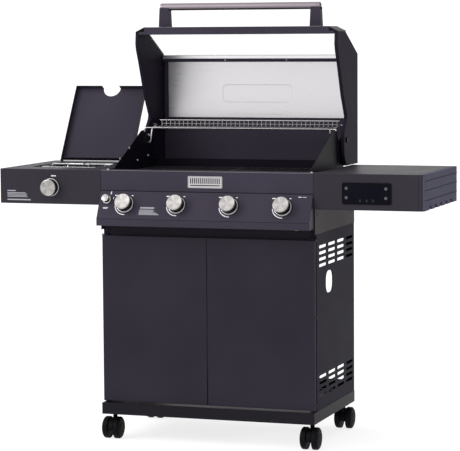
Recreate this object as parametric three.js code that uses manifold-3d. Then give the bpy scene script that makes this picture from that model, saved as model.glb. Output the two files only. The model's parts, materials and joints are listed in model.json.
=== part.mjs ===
// Gas barbecue grill on a cart: four burners, a side burner, a hood with a window and two side shelves.
// Millimetres, +Z up, +X to the right of someone standing at the controls, +Y to the back.
// The hood and the side-burner lid stand open. The last lines centre the whole over the origin.

import * as THREE from 'three'
import { mergeVertices } from 'three/addons/utils/BufferGeometryUtils.js'
import Module from 'manifold-3d'

const wasm = await Module()
wasm.setup()

// ---------------------------------------------------------------- driving dimensions

const gap = 0.3 // between pieces that touch
const running = 0.4 // round a pin that turns in a hole
const sheet = 2 // folded steel of the cart
const thin = 1.5 // folded steel of doors and shelves

const cartWidth = 692
const cartDepth = 450
const wheelRadius = 34.5
const casterHeight = 2 * wheelRadius + 13 // floor to the underside of the base
const baseHeight = 36
const workHeight = 846 // top of the control panel and of the shelves
const shelfLength = 341.2
const shelfDepth = 437
const shelfHeight = 109
const shelfSetback = 4 // shelf fronts behind the front of the base
const shelfEndWidth = 17

const cartHalf = cartWidth / 2
const baseTop = casterHeight + baseHeight
const shelfBottom = workHeight - shelfHeight
const shelfInner = cartHalf - 2.2
const shelfOuter = shelfInner + shelfLength
const shelfSheetEnd = shelfOuter - shelfEndWidth - gap

const panelHalf = shelfInner - gap
const manifoldRadius = 9
const manifoldY = 26
const valveDepth = 30 // valve centres behind the sloped panel

const panelStrip = 63 // upright band at the top of the control panel
const panelRun = 42 // how far the sloped band comes forward
const panelDrop = 85 // how far it falls
const panelLip = 21.5

const sideFront = 30 // front edge of the cart's side panels
const sideRear = cartDepth - 2
const sideFlangeFront = 20
const sideFlangeRear = 28
const sideTop = shelfBottom - gap

const fireWall = 2.5
const fireHalf = cartHalf - 26
const fireFront = 52
const fireRear = cartDepth - 32
const fireBottom = shelfBottom - 47
const firePeak = workHeight + 112
const burnerLevel = workHeight - 111
const tamerLevel = workHeight - 79.6
const grateLevel = workHeight - 23.6
const ledgeDepth = 13
const ledgeThickness = 4.5

const hingeY = fireRear - 23
const hingeZ = workHeight + 81
const hingePin = 6
const capThickness = 11
const capInner = fireHalf + 6.5
const capOuter = capInner + capThickness
const hoodReach = hingeY - fireFront - 2 // hinge to the front edge of the hood
const hoodHalf = capInner - gap
const hoodBack = 131 // hinge to the top panel, which stands at the back when open
const hoodFoot = 84 // hinge to the rear panel, which lies low when open
const frontPanelWidth = 93
const frontPanelRise = 18 // proud of the side caps
const handleHeight = 64.5 // bar centre over the front panel
const handleBar = 11.5
const handleHalf = 268
const postWidth = 37

const doorTop = shelfBottom - 95
const doorBottom = baseTop + 5
const doorFront = 12
const doorDepth = 14
const doorGap = 3.4 // between the two doors
const doorEdge = cartHalf - 1.3
const doorPinX = cartHalf - 8
const doorPinY = doorFront + doorDepth / 2
const doorPin = 3

const knobPitch = 170
const knobRadius = 26
const knobHeight = 30
const knobSkirt = 22.5
const knobShaft = 4
const bezelRadius = 29.5
const bezelHeight = 7
const igniterRadius = 12.5

const sideBurnerX = -(shelfInner + 171)
const lidWidth = 247
const lidLength = 272
const lidDepth = 20
const lidHingeY = 378
const lidHingeZ = workHeight + 6
const lidAngle = 121 // degrees from shut to open
const lidPin = 2.5
const sideKnobX = -(shelfInner + 167.2)
const sideKnobZ = workHeight - 56

const wheelOuter = 29 // half the width over both discs
const wheelInner = 9
const axleRadius = 4
const casterTrail = 17
const casterInset = 54
const casterX = cartHalf - 22

const rackPivotY = hingeY - 45
const rackPivotZ = hingeZ - 12
const rackArmY = 18 // from a pivot on the wall to the pivot on the rack
const rackArmZ = 45
const rackWire = 3
const rackRail = 5
const rackWires = 41

// ---------------------------------------------------------------- shape helpers

const roundSides = 18 // of knobs, bezels and the button
const axisX = new THREE.Vector3(1, 0, 0)
const axisY = new THREE.Vector3(0, 1, 0)
const axisZ = new THREE.Vector3(0, 0, 1)

// A closed three.js geometry as a solid that can be joined and cut. Faces end up pointing out.
function solid(geometry) {
  geometry.deleteAttribute('normal')
  geometry.deleteAttribute('uv')
  const welded = mergeVertices(geometry)
  const position = welded.attributes.position
  const corner = [0, 1, 2].map(() => new THREE.Vector3())
  const faces = []
  let volume = 0
  for (let i = 0; i < welded.index.count; i += 3) {
    const [a, b, c] = [0, 1, 2].map((k) => welded.index.getX(i + k))
    if (a === b || b === c || c === a) continue
    faces.push([a, b, c])
    ;[a, b, c].forEach((vertex, k) => corner[k].fromBufferAttribute(position, vertex))
    volume += corner[0].dot(corner[1].clone().cross(corner[2]))
  }
  const outward = volume > 0 ? faces : faces.map(([a, b, c]) => [a, c, b])
  return new wasm.Manifold(
    new wasm.Mesh({
      numProp: 3,
      vertProperties: new Float32Array(position.array),
      triVerts: new Uint32Array(outward.flat()),
    }),
  )
}

const joined = (pieces) => pieces.reduce((whole, piece) => whole.add(piece))
const cut = (body, tools) => tools.reduce((left, tool) => left.subtract(tool), body)

function block([x0, x1], [y0, y1], [z0, z1]) {
  const box = new THREE.BoxGeometry(x1 - x0, y1 - y0, z1 - z0)
  return solid(box.translate((x0 + x1) / 2, (y0 + y1) / 2, (z0 + z1) / 2))
}

// A folded sheet-metal box, open on one side: '-z', '+y' and so on.
function pan(x, y, z, wall, open) {
  const hollow = [x, y, z].map(([low, high]) => [low + wall, high - wall])
  const outer = [x, y, z]
  const axis = 'xyz'.indexOf(open[1])
  const end = open[0] === '-' ? 0 : 1
  hollow[axis][end] = outer[axis][end] + (end ? wall : -wall)
  return block(x, y, z).subtract(block(...hollow))
}

const path2 = (points) => points.map(([a, b]) => new THREE.Vector2(a, b))

function extruded(outline, length, holes = []) {
  const shape = new THREE.Shape(path2(outline))
  shape.holes.push(...holes.map((hole) => new THREE.Path(path2(hole))))
  return new THREE.ExtrudeGeometry(shape, { depth: length, bevelEnabled: false })
}

// Outline in (Y, Z), pulled along X.
function alongX(outline, [x0, x1], holes) {
  const place = new THREE.Matrix4().makeBasis(axisY, axisZ, axisX).setPosition(x0, 0, 0)
  return solid(extruded(outline, x1 - x0, holes).applyMatrix4(place))
}

// Outline in (X, Z), pulled along Y.
function alongY(outline, [y0, y1], holes) {
  const back = axisY.clone().negate()
  const place = new THREE.Matrix4().makeBasis(axisX, axisZ, back).setPosition(0, y1, 0)
  return solid(extruded(outline, y1 - y0, holes).applyMatrix4(place))
}

// Outline in (X, Y), pulled along Z.
function alongZ(outline, [z0, z1], holes) {
  return solid(extruded(outline, z1 - z0, holes).translate(0, 0, z0))
}

function rod(start, end, radius, sides = 12) {
  const from = new THREE.Vector3(...start)
  const to = new THREE.Vector3(...end)
  const bar = new THREE.CylinderGeometry(radius, radius, from.distanceTo(to), sides)
  const turn = new THREE.Quaternion().setFromUnitVectors(axisY, to.clone().sub(from).normalize())
  const middle = from.add(to).multiplyScalar(0.5)
  return solid(bar.applyQuaternion(turn).translate(middle.x, middle.y, middle.z))
}

// A profile of [radius, height] pairs turned about the direction, with its foot at the point.
function turned(profile, foot, direction, sides = 32) {
  const shape = new THREE.LatheGeometry(path2(profile), sides)
  const turn = new THREE.Quaternion().setFromUnitVectors(axisY, new THREE.Vector3(...direction))
  return solid(shape.applyQuaternion(turn).translate(...foot))
}

// The outline of a sheet of even thickness folded along the path; it thickens to the path's left.
function folded(path, thickness) {
  const points = path2(path)
  const normals = points.slice(1).map((point, i) => {
    const along = point.clone().sub(points[i]).normalize()
    return new THREE.Vector2(-along.y, along.x)
  })
  const inner = points.map((point, i) => {
    const before = normals[Math.max(i - 1, 0)]
    const after = normals[Math.min(i, normals.length - 1)]
    const mitre = before.clone().add(after)
    return point.clone().add(mitre.multiplyScalar(thickness / (1 + before.dot(after))))
  })
  return [...points, ...inner.reverse()].map((point) => [point.x, point.y])
}

// A rectangle with round corners; a radius of half the height makes a slot.
function rounded([a0, a1], [b0, b1], radius, steps = 2) {
  const centres = [
    [a1 - radius, b1 - radius],
    [a0 + radius, b1 - radius],
    [a0 + radius, b0 + radius],
    [a1 - radius, b0 + radius],
  ]
  const points = []
  centres.forEach(([a, b], quarter) => {
    for (let i = 0; i <= steps; i += 1) {
      const angle = ((quarter + i / steps) * Math.PI) / 2
      const point = [a + radius * Math.cos(angle), b + radius * Math.sin(angle)]
      const last = points.at(-1)
      if (!last || Math.hypot(point[0] - last[0], point[1] - last[1]) > gap) points.push(point)
    }
  })
  const [first, last] = [points[0], points.at(-1)]
  if (Math.hypot(first[0] - last[0], first[1] - last[1]) < gap) points.pop()
  return points
}

function circle([a, b], radius, sides = 24) {
  return Array.from({ length: sides }, (_, i) => {
    const angle = (i / sides) * 2 * Math.PI
    return [a + radius * Math.cos(angle), b + radius * Math.sin(angle)]
  })
}

const mirrorX = (points) => points.map(([x, y]) => [-x, y])

// ---------------------------------------------------------------- finishes

const finishes = {
  darkPaint: { color: 0x35313a, roughness: 0.5, metalness: 0.35 },
  warmPaint: { color: 0x4a4448, roughness: 0.55, metalness: 0.3 },
  blackSteel: { color: 0x141416, roughness: 0.6, metalness: 0.3 },
  stainless: { color: 0xc9c6cb, roughness: 0.35, metalness: 1 },
  chrome: { color: 0xdcdcdf, roughness: 0.15, metalness: 1 },
  brushed: { color: 0x9a9196, roughness: 0.35, metalness: 1 },
  castIron: { color: 0x1b1b1c, roughness: 0.75, metalness: 0.4 },
  brass: { color: 0xa98742, roughness: 0.4, metalness: 1 },
  blackPlastic: { color: 0x121214, roughness: 0.6, metalness: 0 },
  greyPlastic: { color: 0x4b4a5c, roughness: 0.6, metalness: 0 },
  glossBlack: { color: 0x0a0a10, roughness: 0.15, metalness: 0 },
  glass: { color: 0xe8eef0, roughness: 0.05, metalness: 0 },
}

const grill = new THREE.Group()

function add(name, body, finish, parent = grill) {
  const mesh = body.getMesh()
  const geometry = new THREE.BufferGeometry()
  geometry.setAttribute('position', new THREE.BufferAttribute(mesh.vertProperties, 3))
  geometry.setIndex(new THREE.BufferAttribute(mesh.triVerts, 1))
  geometry.computeVertexNormals()
  const piece = new THREE.Mesh(geometry, new THREE.MeshStandardMaterial(finishes[finish]))
  piece.name = name
  parent.add(piece)
}

const sides = [
  { name: 'left', sign: -1 },
  { name: 'right', sign: 1 },
]
const span = (sign, near, far) => (sign > 0 ? [near, far] : [-far, -near])

// ---------------------------------------------------------------- cart

const tankRadius = 110
const tankX = 150
const cornerPlate = 80

function baseTray() {
  const half = cartHalf + 0.5
  const tray = pan([-half, half], [0, cartDepth], [casterHeight, baseTop], sheet, '-z')
  const plates = []
  const holes = []
  for (const { sign } of sides) {
    const x = span(sign, half - cornerPlate, half - gap)
    plates.push(block(x, [gap, cornerPlate], [casterHeight, casterHeight + 3]))
    plates.push(block(x, [cartDepth - cornerPlate, cartDepth - gap], [casterHeight, casterHeight + 3]))
    const top = [sign * doorPinX, doorPinY, baseTop + 1]
    holes.push(rod(top, [top[0], top[1], baseTop - sheet - 1], doorPin + running))
  }
  const tank = [tankX, cartDepth / 2 + 20]
  holes.push(alongZ(circle(tank, tankRadius, 32), [baseTop - sheet - 1, baseTop + 1]))
  return cut(joined([tray, ...plates]), holes)
}

const slotLength = 75
const slotHeight = 9
const slotPitchY = 98.5
const slotPitchZ = 19
const slotStart = 66 // first slot's middle behind the panel's front edge
const slotEnd = 50 // least room behind the last slot's middle
const slotRows = [sideTop - 175.7, baseTop + 44] // lowest slot of the upper and the lower group
const accessY = 165
const accessZ = (sideTop + baseTop) / 2 + 75.6

function ventSlots() {
  const holes = []
  const columns = 1 + Math.floor((sideRear - sideFront - slotStart - slotEnd) / slotPitchY)
  for (const low of slotRows) {
    for (let column = 0; column < columns; column += 1) {
      const y = sideFront + slotStart + column * slotPitchY
      for (let row = 0; row < 4; row += 1) {
        const z = low + row * slotPitchZ
        const along = [y - slotLength / 2, y + slotLength / 2]
        holes.push(rounded(along, [z - slotHeight / 2, z + slotHeight / 2], slotHeight / 2))
      }
    }
  }
  return holes
}

// Small upright slots in the bracket plate that carries the shelf.
function bracketSlots() {
  const top = sideTop
  return [
    [sideFront + 18, top - 22],
    [sideFront + 18, top - 62],
    [(sideFront + sideRear) / 2 - 4, top - 24],
    [sideRear - 80, top - 58],
  ].map(([y, z]) => rounded([y - 4, y + 4], [z - 11, z + 11], 4))
}

function sidePanel(sign) {
  const outer = cartHalf
  const z = [baseTop + gap, sideTop]
  const access = rounded([accessY - 35, accessY + 35], [accessZ - 34, accessZ + 34], 26, 5)
  const plate = alongX(
    [[sideFront, z[0]], [sideRear, z[0]], [sideRear, z[1]], [sideFront, z[1]]],
    span(sign, outer - sheet, outer),
    [...ventSlots(), ...bracketSlots(), access],
  )
  const front = block(span(sign, outer - sideFlangeFront, outer), [sideFront, sideFront + sheet], z)
  const rear = block(span(sign, outer - sideFlangeRear, outer), [sideRear - sheet, sideRear], z)
  const top = block(span(sign, fireHalf + 3, outer), [sideFront, sideRear], [sideTop - sheet, sideTop])
  const hingeTab = block(
    span(sign, outer - sideFlangeFront, outer),
    [doorPinY - 9, sideFront + sheet],
    [doorTop + 2.5, doorTop + 4.5],
  )
  const foot = [sign * doorPinX, doorPinY, doorTop]
  const pinHole = rod(foot, [foot[0], foot[1], doorTop + 8], doorPin + running)
  return joined([plate, front, rear, top, hingeTab]).subtract(pinHole)
}

const trayHalf = 150
const trayDepth = 23
const trayBottom = shelfBottom - 97
const trayFront = 70

function rearFrame() {
  const half = cartHalf - sheet - gap * 2
  const y = [sideRear - sheet * 2 - gap, sideRear - sheet - gap]
  const z = [baseTop + gap * 2, sideTop - sheet - gap]
  const stile = half - sideFlangeRear + sheet
  const topRail = trayBottom - 8
  const mouth = [trayBottom - 4, trayBottom + trayDepth + 12]
  const outline = [[-half, z[0]], [half, z[0]], [half, z[1]], [-half, z[1]]]
  const window = [[-stile, z[0] + 34], [stile, z[0] + 34], [stile, topRail], [-stile, topRail]]
  const trayHalfMouth = trayHalf + 4
  const slot = [
    [-trayHalfMouth, mouth[0]],
    [trayHalfMouth, mouth[0]],
    [trayHalfMouth, mouth[1]],
    [-trayHalfMouth, mouth[1]],
  ]
  const frame = alongY(outline, y, [window, slot])
  const rails = sides.map(({ sign }) => {
    const web = block(
      span(sign, trayHalf + 1, trayHalf + 4.5),
      [trayFront - 10, y[1]],
      [trayBottom - 4.5, trayBottom + trayDepth + 5],
    )
    const foot = block(
      span(sign, trayHalf - 10, trayHalf + 4.5),
      [trayFront - 10, y[1]],
      [trayBottom - 4.5, trayBottom - gap],
    )
    return web.add(foot)
  })
  return joined([frame, ...rails])
}

function frontRail() {
  const half = cartHalf - sheet - gap * 2
  const y = sideFront + sheet + gap
  const z = [doorTop - 2, doorTop + 48]
  const section = folded([[y + 20, z[0]], [y, z[0]], [y, z[1]]], -sheet)
  return alongX(section, [-half, half])
}

function greaseTray() {
  const rear = sideRear - 7
  const tray = pan(
    [-trayHalf, trayHalf],
    [trayFront, rear],
    [trayBottom, trayBottom + trayDepth],
    1.2,
    '+z',
  )
  const front = block([-trayHalf, trayHalf], [rear - 1.2, rear + 0.8], [trayBottom, trayBottom + 30])
  const lip = block([-60, 60], [rear, rear + 8], [trayBottom + 28, trayBottom + 30])
  return joined([tray, front, lip])
}

// A pan door, open at the back, with a pivot pin at the top and the bottom of its outer edge.
function door(sign) {
  const x = span(sign, doorGap / 2, doorEdge)
  const leaf = pan(x, [doorFront, doorFront + doorDepth], [doorBottom, doorTop], thin, '+y')
  const pins = [
    [doorBottom + 1, doorBottom - 9],
    [doorTop - 1, doorTop + 7],
  ].map(([from, to]) => rod([sign * doorPinX, doorPinY, from], [sign * doorPinX, doorPinY, to], doorPin))
  const stiffener = block(
    span(sign, doorGap / 2 + 30, doorEdge - 30),
    [doorFront + 1, doorFront + doorDepth - 5],
    [(doorBottom + doorTop) / 2 - 1, (doorBottom + doorTop) / 2 + 1],
  )
  return joined([leaf, ...pins, stiffener])
}

// ---------------------------------------------------------------- casters

function casterPlaces() {
  return [
    ['front_left', -casterX, casterInset, -1],
    ['front_right', casterX, casterInset, -1],
    ['rear_left', -casterX, cartDepth - casterInset, 1],
    ['rear_right', casterX, cartDepth - casterInset, 1],
  ]
}

function casterBody(x, y, facing) {
  const centre = [y + facing * casterTrail, wheelRadius]
  const hood = wheelRadius - 3
  const web = []
  for (let degrees = -15; degrees <= 195; degrees += 21) {
    const angle = (degrees * Math.PI) / 180
    web.push([centre[0] + hood * Math.cos(angle), centre[1] + hood * Math.sin(angle)])
  }
  web.push([centre[0] - 9, centre[1] - 11], [centre[0] + 9, centre[1] - 11])
  const half = wheelInner - 2
  const body = alongX(web, [x - half, x + half])
  const stem = turned(
    [
      [0, wheelRadius],
      [half, wheelRadius],
      [half, casterHeight - 8],
      [16, casterHeight - 5],
      [16, casterHeight - gap],
      [0, casterHeight - gap],
    ],
    [x, y, 0],
    [0, 0, 1],
    12,
  )
  const bore = rod([x - 30, ...centre], [x + 30, ...centre], axleRadius + running * 2, 12)
  return body.add(stem).subtract(bore)
}

function casterWheels(x, y, facing) {
  const tread = wheelRadius
  const rim = [
    [axleRadius, wheelInner],
    [tread, wheelInner],
    [tread, wheelOuter - 5],
    [tread - 8, wheelOuter],
    [0, wheelOuter],
  ]
  const profile = [...mirrorHeight(rim).reverse(), ...rim]
  return turned(profile, [x, y + facing * casterTrail, wheelRadius], [1, 0, 0], 20)
}

const mirrorHeight = (profile) => profile.map(([radius, height]) => [radius, -height])

// ---------------------------------------------------------------- control panel, gas train

const panelTop = [shelfSetback, workHeight - panelStrip]
const panelFoot = [shelfSetback - panelRun, workHeight - panelStrip - panelDrop]
const panelTilt = Math.atan2(panelRun, panelDrop)
const panelOut = [0, -Math.cos(panelTilt), Math.sin(panelTilt)]
const knobShare = 0.482 // knob centres, as a share of the slope from its top
const igniterShare = 0.33

function onPanel(share, height = 0) {
  const y = panelTop[0] + (panelFoot[0] - panelTop[0]) * share
  const z = panelTop[1] + (panelFoot[1] - panelTop[1]) * share
  return [y + panelOut[1] * height, z + panelOut[2] * height]
}

const knobXs = [-1.5, -0.5, 0.5, 1.5].map((step) => step * knobPitch)
const igniterX = -(cartHalf - 28)

function controlPanel() {
  const bottom = panelFoot[1] - panelLip
  const rear = fireFront - gap
  const path = [
    [rear, workHeight],
    [shelfSetback, workHeight],
    panelTop,
    panelFoot,
    [panelFoot[0], bottom],
    [panelFoot[0] + 18, bottom],
  ]
  const shell = alongX(folded(path, sheet), [-panelHalf, panelHalf])
  const cheek = [
    [rear, workHeight],
    [shelfSetback, workHeight],
    panelTop,
    panelFoot,
    [panelFoot[0], bottom],
    [10, bottom],
    [sideFront - sheet, bottom + 24],
    [sideFront - sheet, shelfBottom + 1],
    [rear, shelfBottom + 1],
  ]
  const cheeks = sides.map(({ sign }) => alongX(cheek, span(sign, panelHalf - sheet, panelHalf)))
  const holes = knobXs.map((x) => {
    return rod([x, ...onPanel(knobShare, 10)], [x, ...onPanel(knobShare, -10)], knobShaft + 2)
  })
  const button = [igniterX, ...onPanel(igniterShare, 10)]
  holes.push(rod(button, [igniterX, ...onPanel(igniterShare, -10)], igniterRadius - 4, 20))
  return cut(joined([shell, ...cheeks]), holes)
}

function knob(foot, direction) {
  return turned(
    [
      [0, -14],
      [knobShaft, -14],
      [knobShaft, 3],
      [knobSkirt, 3],
      [knobSkirt, knobHeight - 8],
      [knobRadius, knobHeight - 6],
      [knobRadius, knobHeight - 1],
      [knobRadius - 1, knobHeight],
      [0, knobHeight],
    ],
    foot,
    direction,
    roundSides,
  )
}

function bezel(foot, direction) {
  return turned(
    [
      [knobSkirt + 2, gap],
      [bezelRadius, gap],
      [bezelRadius, 2.5],
      [bezelRadius - 2, bezelHeight],
      [knobSkirt + 2, bezelHeight],
      [knobSkirt + 2, gap],
    ],
    foot,
    direction,
    roundSides,
  )
}

function igniterButton() {
  return turned(
    [
      [0, -16],
      [igniterRadius - 5, -16],
      [igniterRadius - 5, 5],
      [igniterRadius, 6],
      [igniterRadius, 17],
      [igniterRadius - 1.5, 19],
      [0, 19],
    ],
    [igniterX, ...onPanel(igniterShare)],
    panelOut,
    roundSides,
  )
}


function gasManifold() {
  const pipe = [manifoldY, onPanel(knobShare, -valveDepth)[1] - 12.7]
  const reach = knobXs[3] + 45
  const pieces = [rod([-reach, ...pipe], [reach, ...pipe], manifoldRadius)]
  for (const x of knobXs) {
    const body = new THREE.BoxGeometry(24, 28, 26).rotateX(-panelTilt)
    pieces.push(solid(body.translate(x, ...onPanel(knobShare, -valveDepth))))
    pieces.push(rod([x, 12, burnerLevel], [x, 40, burnerLevel], 5, 12))
  }
  const inlet = [reach - 15, pipe[0] - 1]
  pieces.push(rod([...inlet, pipe[1]], [...inlet, pipe[1] - 34], 6))
  pieces.push(rod([...inlet, pipe[1] - 34], [...inlet, pipe[1] - 46], 6.2, 6))
  return joined(pieces)
}

// ---------------------------------------------------------------- firebox and what lies in it

// Top edge of a side wall, from the front to the back: it climbs, runs level and falls to the rear wall.
const wallTop = [
  [fireFront + 3, workHeight + 4],
  [hingeY - 105, firePeak - 3],
  [hingeY - 55, firePeak],
  [fireRear - 16, workHeight + 16],
  [fireRear, workHeight + 14],
]

// Plate that rises from a side wall to the hood's hinge bolt.
function hingeLug() {
  const radius = hingePin + 8
  const points = [
    [hingeY + 8, workHeight + 10],
    [hingeY - 45, workHeight + 10],
    [hingeY - 50, hingeZ - 30],
    [hingeY - 36, hingeZ - 2],
  ]
  for (const degrees of [120, 90, 60, 30, 0, -20]) {
    const angle = (degrees * Math.PI) / 180
    points.push([hingeY + radius * Math.cos(angle), hingeZ + radius * Math.sin(angle)])
  }
  return points
}

function firebox() {
  const wall = [[fireFront, workHeight - 2], ...wallTop, [fireRear, fireBottom], [fireFront, fireBottom]]
  const inside = fireHalf - fireWall
  const across = [-fireHalf, fireHalf]
  const pieces = sides.map(({ sign }) => alongX(wall, span(sign, inside, fireHalf)))
  pieces.push(block(across, [fireFront, fireFront + fireWall], [fireBottom, workHeight - 0.5]))
  pieces.push(block(across, [fireRear - fireWall, fireRear], [fireBottom, workHeight + 14]))
  for (const level of [tamerLevel, grateLevel]) {
    const z = [level - gap - ledgeThickness, level - gap]
    pieces.push(block(across, [fireFront + 1, fireFront + fireWall + ledgeDepth], z))
    pieces.push(block(across, [fireRear - fireWall - ledgeDepth, fireRear - 1], z))
  }
  const lip = [fireBottom, fireBottom + 2]
  pieces.push(block(across, [fireFront + 1, fireFront + 14], lip))
  pieces.push(block(across, [fireRear - 14, fireRear - 1], lip))
  for (const { sign } of sides) {
    pieces.push(block(span(sign, inside - 10, fireHalf - 1), [fireFront, fireRear], lip))
    const flange = [shelfBottom + gap, shelfBottom + gap + 2.5]
    pieces.push(block(span(sign, fireHalf - 1, panelHalf - sheet - 0.5), [fireFront, fireRear], flange))
    const hinge = [hingeY, hingeZ]
    const boss = sign * (capInner - 1)
    pieces.push(alongX(hingeLug(), span(sign, fireHalf - 1, fireHalf + 3)))
    pieces.push(rod([sign * (inside + 0.5), ...hinge], [boss, ...hinge], hingePin + 5))
    pieces.push(rod([boss, ...hinge], [sign * (capOuter + 2), ...hinge], hingePin, 16))
    const head = sign * (capOuter + gap * 2)
    pieces.push(rod([head, ...hinge], [head + sign * 3, ...hinge], hingePin + 3.5, 6))
  }
  const mouths = knobXs.map((x) => {
    return rod([x, fireFront - 5, burnerLevel], [x, fireFront + 8, burnerLevel], burnerRadius + 1.5)
  })
  return cut(joined(pieces), mouths)
}

const burnerRadius = 14

function dripFunnel() {
  const half = fireHalf - fireWall - gap
  const y = [fireFront + fireWall + gap, fireRear - fireWall - gap]
  const middle = (y[0] + y[1]) / 2
  const z = fireBottom + 2 + gap
  const drop = 24
  const mouth = [half - 12, (y[1] - y[0]) / 2 - 12]
  const cone = (lift) => {
    const shape = new THREE.CylinderGeometry(Math.SQRT2, Math.SQRT2 * 0.12, drop, 4)
    shape.rotateY(Math.PI / 4).rotateX(Math.PI / 2).scale(mouth[0], mouth[1], 1)
    return solid(shape.translate(0, middle, z + 2 - drop / 2 + lift))
  }
  const rim = block([-half, half], y, [z, z + 2])
  const outlet = block([-26, 26], [middle - 14, middle + 14], [z - drop - 5, z + 5])
  return cut(rim.add(cone(0)), [cone(2), outlet])
}

function burner(x) {
  const y = [manifoldY + manifoldRadius + 1, fireRear - 18]
  const z = burnerLevel
  const tube = rod([x, y[0], z], [x, y[1], z], burnerRadius)
  return tube.subtract(rod([x, y[0] - 2, z], [x, y[1] - 5, z], burnerRadius - 2))
}

function flameTamer(x) {
  const rise = 24
  const half = 46
  const ridge = 4
  const z = tamerLevel
  const path = [[x + half, z], [x + ridge, z + rise], [x - ridge, z + rise], [x - half, z]]
  const reach = fireWall + 2
  return alongY(folded(path, -thin), [fireFront + reach, fireRear - reach])
}

const grateThickness = 12

function cookingGrate(sign) {
  const x = span(sign, 1, fireHalf - fireWall - 2)
  const y = [fireFront + fireWall + 2, fireRear - fireWall - 2]
  const bars = 15
  const rim = 12
  const land = 7
  const pitch = (x[1] - x[0] - 2 * rim + land) / bars
  const middle = (y[0] + y[1]) / 2
  const z = [grateLevel, grateLevel + grateThickness]
  const slots = []
  for (let i = 0; i < bars; i += 1) {
    const from = x[0] + rim + i * pitch
    for (const along of [[y[0] + rim, middle - 5], [middle + 5, y[1] - rim]]) {
      slots.push(block([from, from + pitch - land], along, [z[0] - 1, z[1] + 1]))
    }
  }
  return cut(block(x, y, z), slots)
}

// ---------------------------------------------------------------- warming rack

const rackHalf = fireHalf - fireWall - 6
const rackDeck = rackPivotZ + rackArmZ + 4
const rackFront = hingeY - 95
const rackRear = hingeY + 30

function warmingRack() {
  const half = rackWire / 2
  const guard = 20
  const ell = [
    [rackFront, rackDeck - half],
    [rackRear + half, rackDeck - half],
    [rackRear + half, rackDeck + guard],
    [rackRear - half, rackDeck + guard],
    [rackRear - half, rackDeck + half],
    [rackFront, rackDeck + half],
  ]
  const inner = rackHalf - 14
  const pitch = (2 * inner) / (rackWires - 1)
  const pieces = []
  for (let i = 0; i < rackWires; i += 1) {
    const x = -inner + i * pitch
    pieces.push(alongX(ell, [x - half, x + half]))
  }
  const thick = rackRail / 2
  const rail = (y, z, reach) => block([-reach, reach], [y - thick, y + thick], [z - thick, z + thick])
  pieces.push(rail(rackFront, rackDeck, rackHalf))
  pieces.push(rail(rackRear, rackDeck + guard, rackHalf - 8))
  for (const { sign } of sides) {
    const end = span(sign, rackHalf - rackRail, rackHalf)
    pieces.push(block(end, [rackFront - thick, rackFront + thick], [rackDeck - 14, rackDeck]))
    const pin = [hingeY + rackArmY, hingeZ + rackArmZ]
    const edge = sign * (inner - half)
    pieces.push(rod([edge, ...pin], [sign * (capInner - 0.8), ...pin], rackRail / 2, 8))
    pieces.push(rod([edge, pin[0], pin[1] - 1], [edge, pin[0], rackDeck], rackRail / 2, 8))
  }
  const crossRod = [rackPivotY + rackArmY, rackPivotZ + rackArmZ]
  const saddle = rod([-capInner, ...crossRod], [capInner, ...crossRod], rackRail / 2 + gap, 8)
  return joined(pieces).subtract(saddle)
}

// The swinging bail under the rack: a cross rod with a leg at each end and a pivot on each wall.
function rackBail() {
  const reach = fireHalf - fireWall - 3
  const wall = fireHalf - fireWall - 0.5
  const top = [rackPivotY + rackArmY, rackPivotZ + rackArmZ]
  const foot = [rackPivotY, rackPivotZ]
  const pieces = [rod([-reach, ...top], [reach, ...top], rackRail / 2, 8)]
  for (const { sign } of sides) {
    const x = sign * (reach - rackRail / 2)
    pieces.push(rod([x, ...top], [x, ...foot], rackRail / 2, 8))
    pieces.push(rod([x, ...foot], [sign * wall, ...foot], rackRail / 2 + 2, 12))
  }
  return joined(pieces)
}

// ---------------------------------------------------------------- hood, shown open

// Side outline about the hinge: front edge, curved nose, rounded foot, top panel and window edges.
function capOutline() {
  const reach = hoodReach
  const about = [
    [-100, reach],
    [-104, reach - 35],
    [-99, reach - 55],
    [-77, reach - 101],
    [-35, 140],
    [5, 74],
    [0, 60],
    [-14, 45],
    [-27, 32],
    [-32, 8],
    [-32, -18],
    [-28, -45],
    [-18, -66],
    [-4, -78],
    [8, -hoodFoot + 2],
    [hoodBack, -hoodFoot + 2],
    [hoodBack, reach - 70],
    [-7, reach],
  ]
  return about.map(([y, z]) => [hingeY + y, hingeZ + z])
}

function hoodCap(sign) {
  const cap = alongX(capOutline(), span(sign, capInner, capOuter))
  const hinge = [hingeY, hingeZ]
  const near = sign * (capInner - 5)
  return cap.subtract(rod([near, ...hinge], [sign * (capOuter + 5), ...hinge], hingePin + running, 16))
}

const hoodTopZ = hingeZ + hoodReach
const frontPanelY = [hingeY - 100, hingeY - 100 + frontPanelWidth]

// A pan with bevelled ends that caps the hood's front edge.
function hoodFrontPanel() {
  const bevel = 29.5
  const top = hoodTopZ + frontPanelRise
  const wall = 3
  const low = hoodTopZ + gap * 2
  const crown = folded(
    [[capOuter, low + wall], [capOuter - bevel, top], [bevel - capOuter, top], [-capOuter, low + wall]],
    wall,
  )
  const skin = alongY(crown, frontPanelY)
  const foot = hoodTopZ - 6
  const flange = (y) => block([-hoodHalf, hoodHalf], y, [foot, low + 3])
  const web = (y) => block([bevel - capOuter, capOuter - bevel], y, [foot, top - 1])
  const front = [frontPanelY[0], frontPanelY[0] + wall]
  const rear = [frontPanelY[1] - wall, frontPanelY[1]]
  return joined([skin, flange(front), web(front), flange(rear), web(rear)])
}

const glassThickness = 5
const windowTop = [hingeY - 7, hoodTopZ - 6 - gap]
const windowFoot = [hingeY + hoodBack - 6, hoodTopZ - 74]

function hoodWindow() {
  const pane = folded([windowTop, windowFoot], -glassThickness)
  return alongX(pane, [-hoodHalf + 3, hoodHalf - 3])
}

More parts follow.
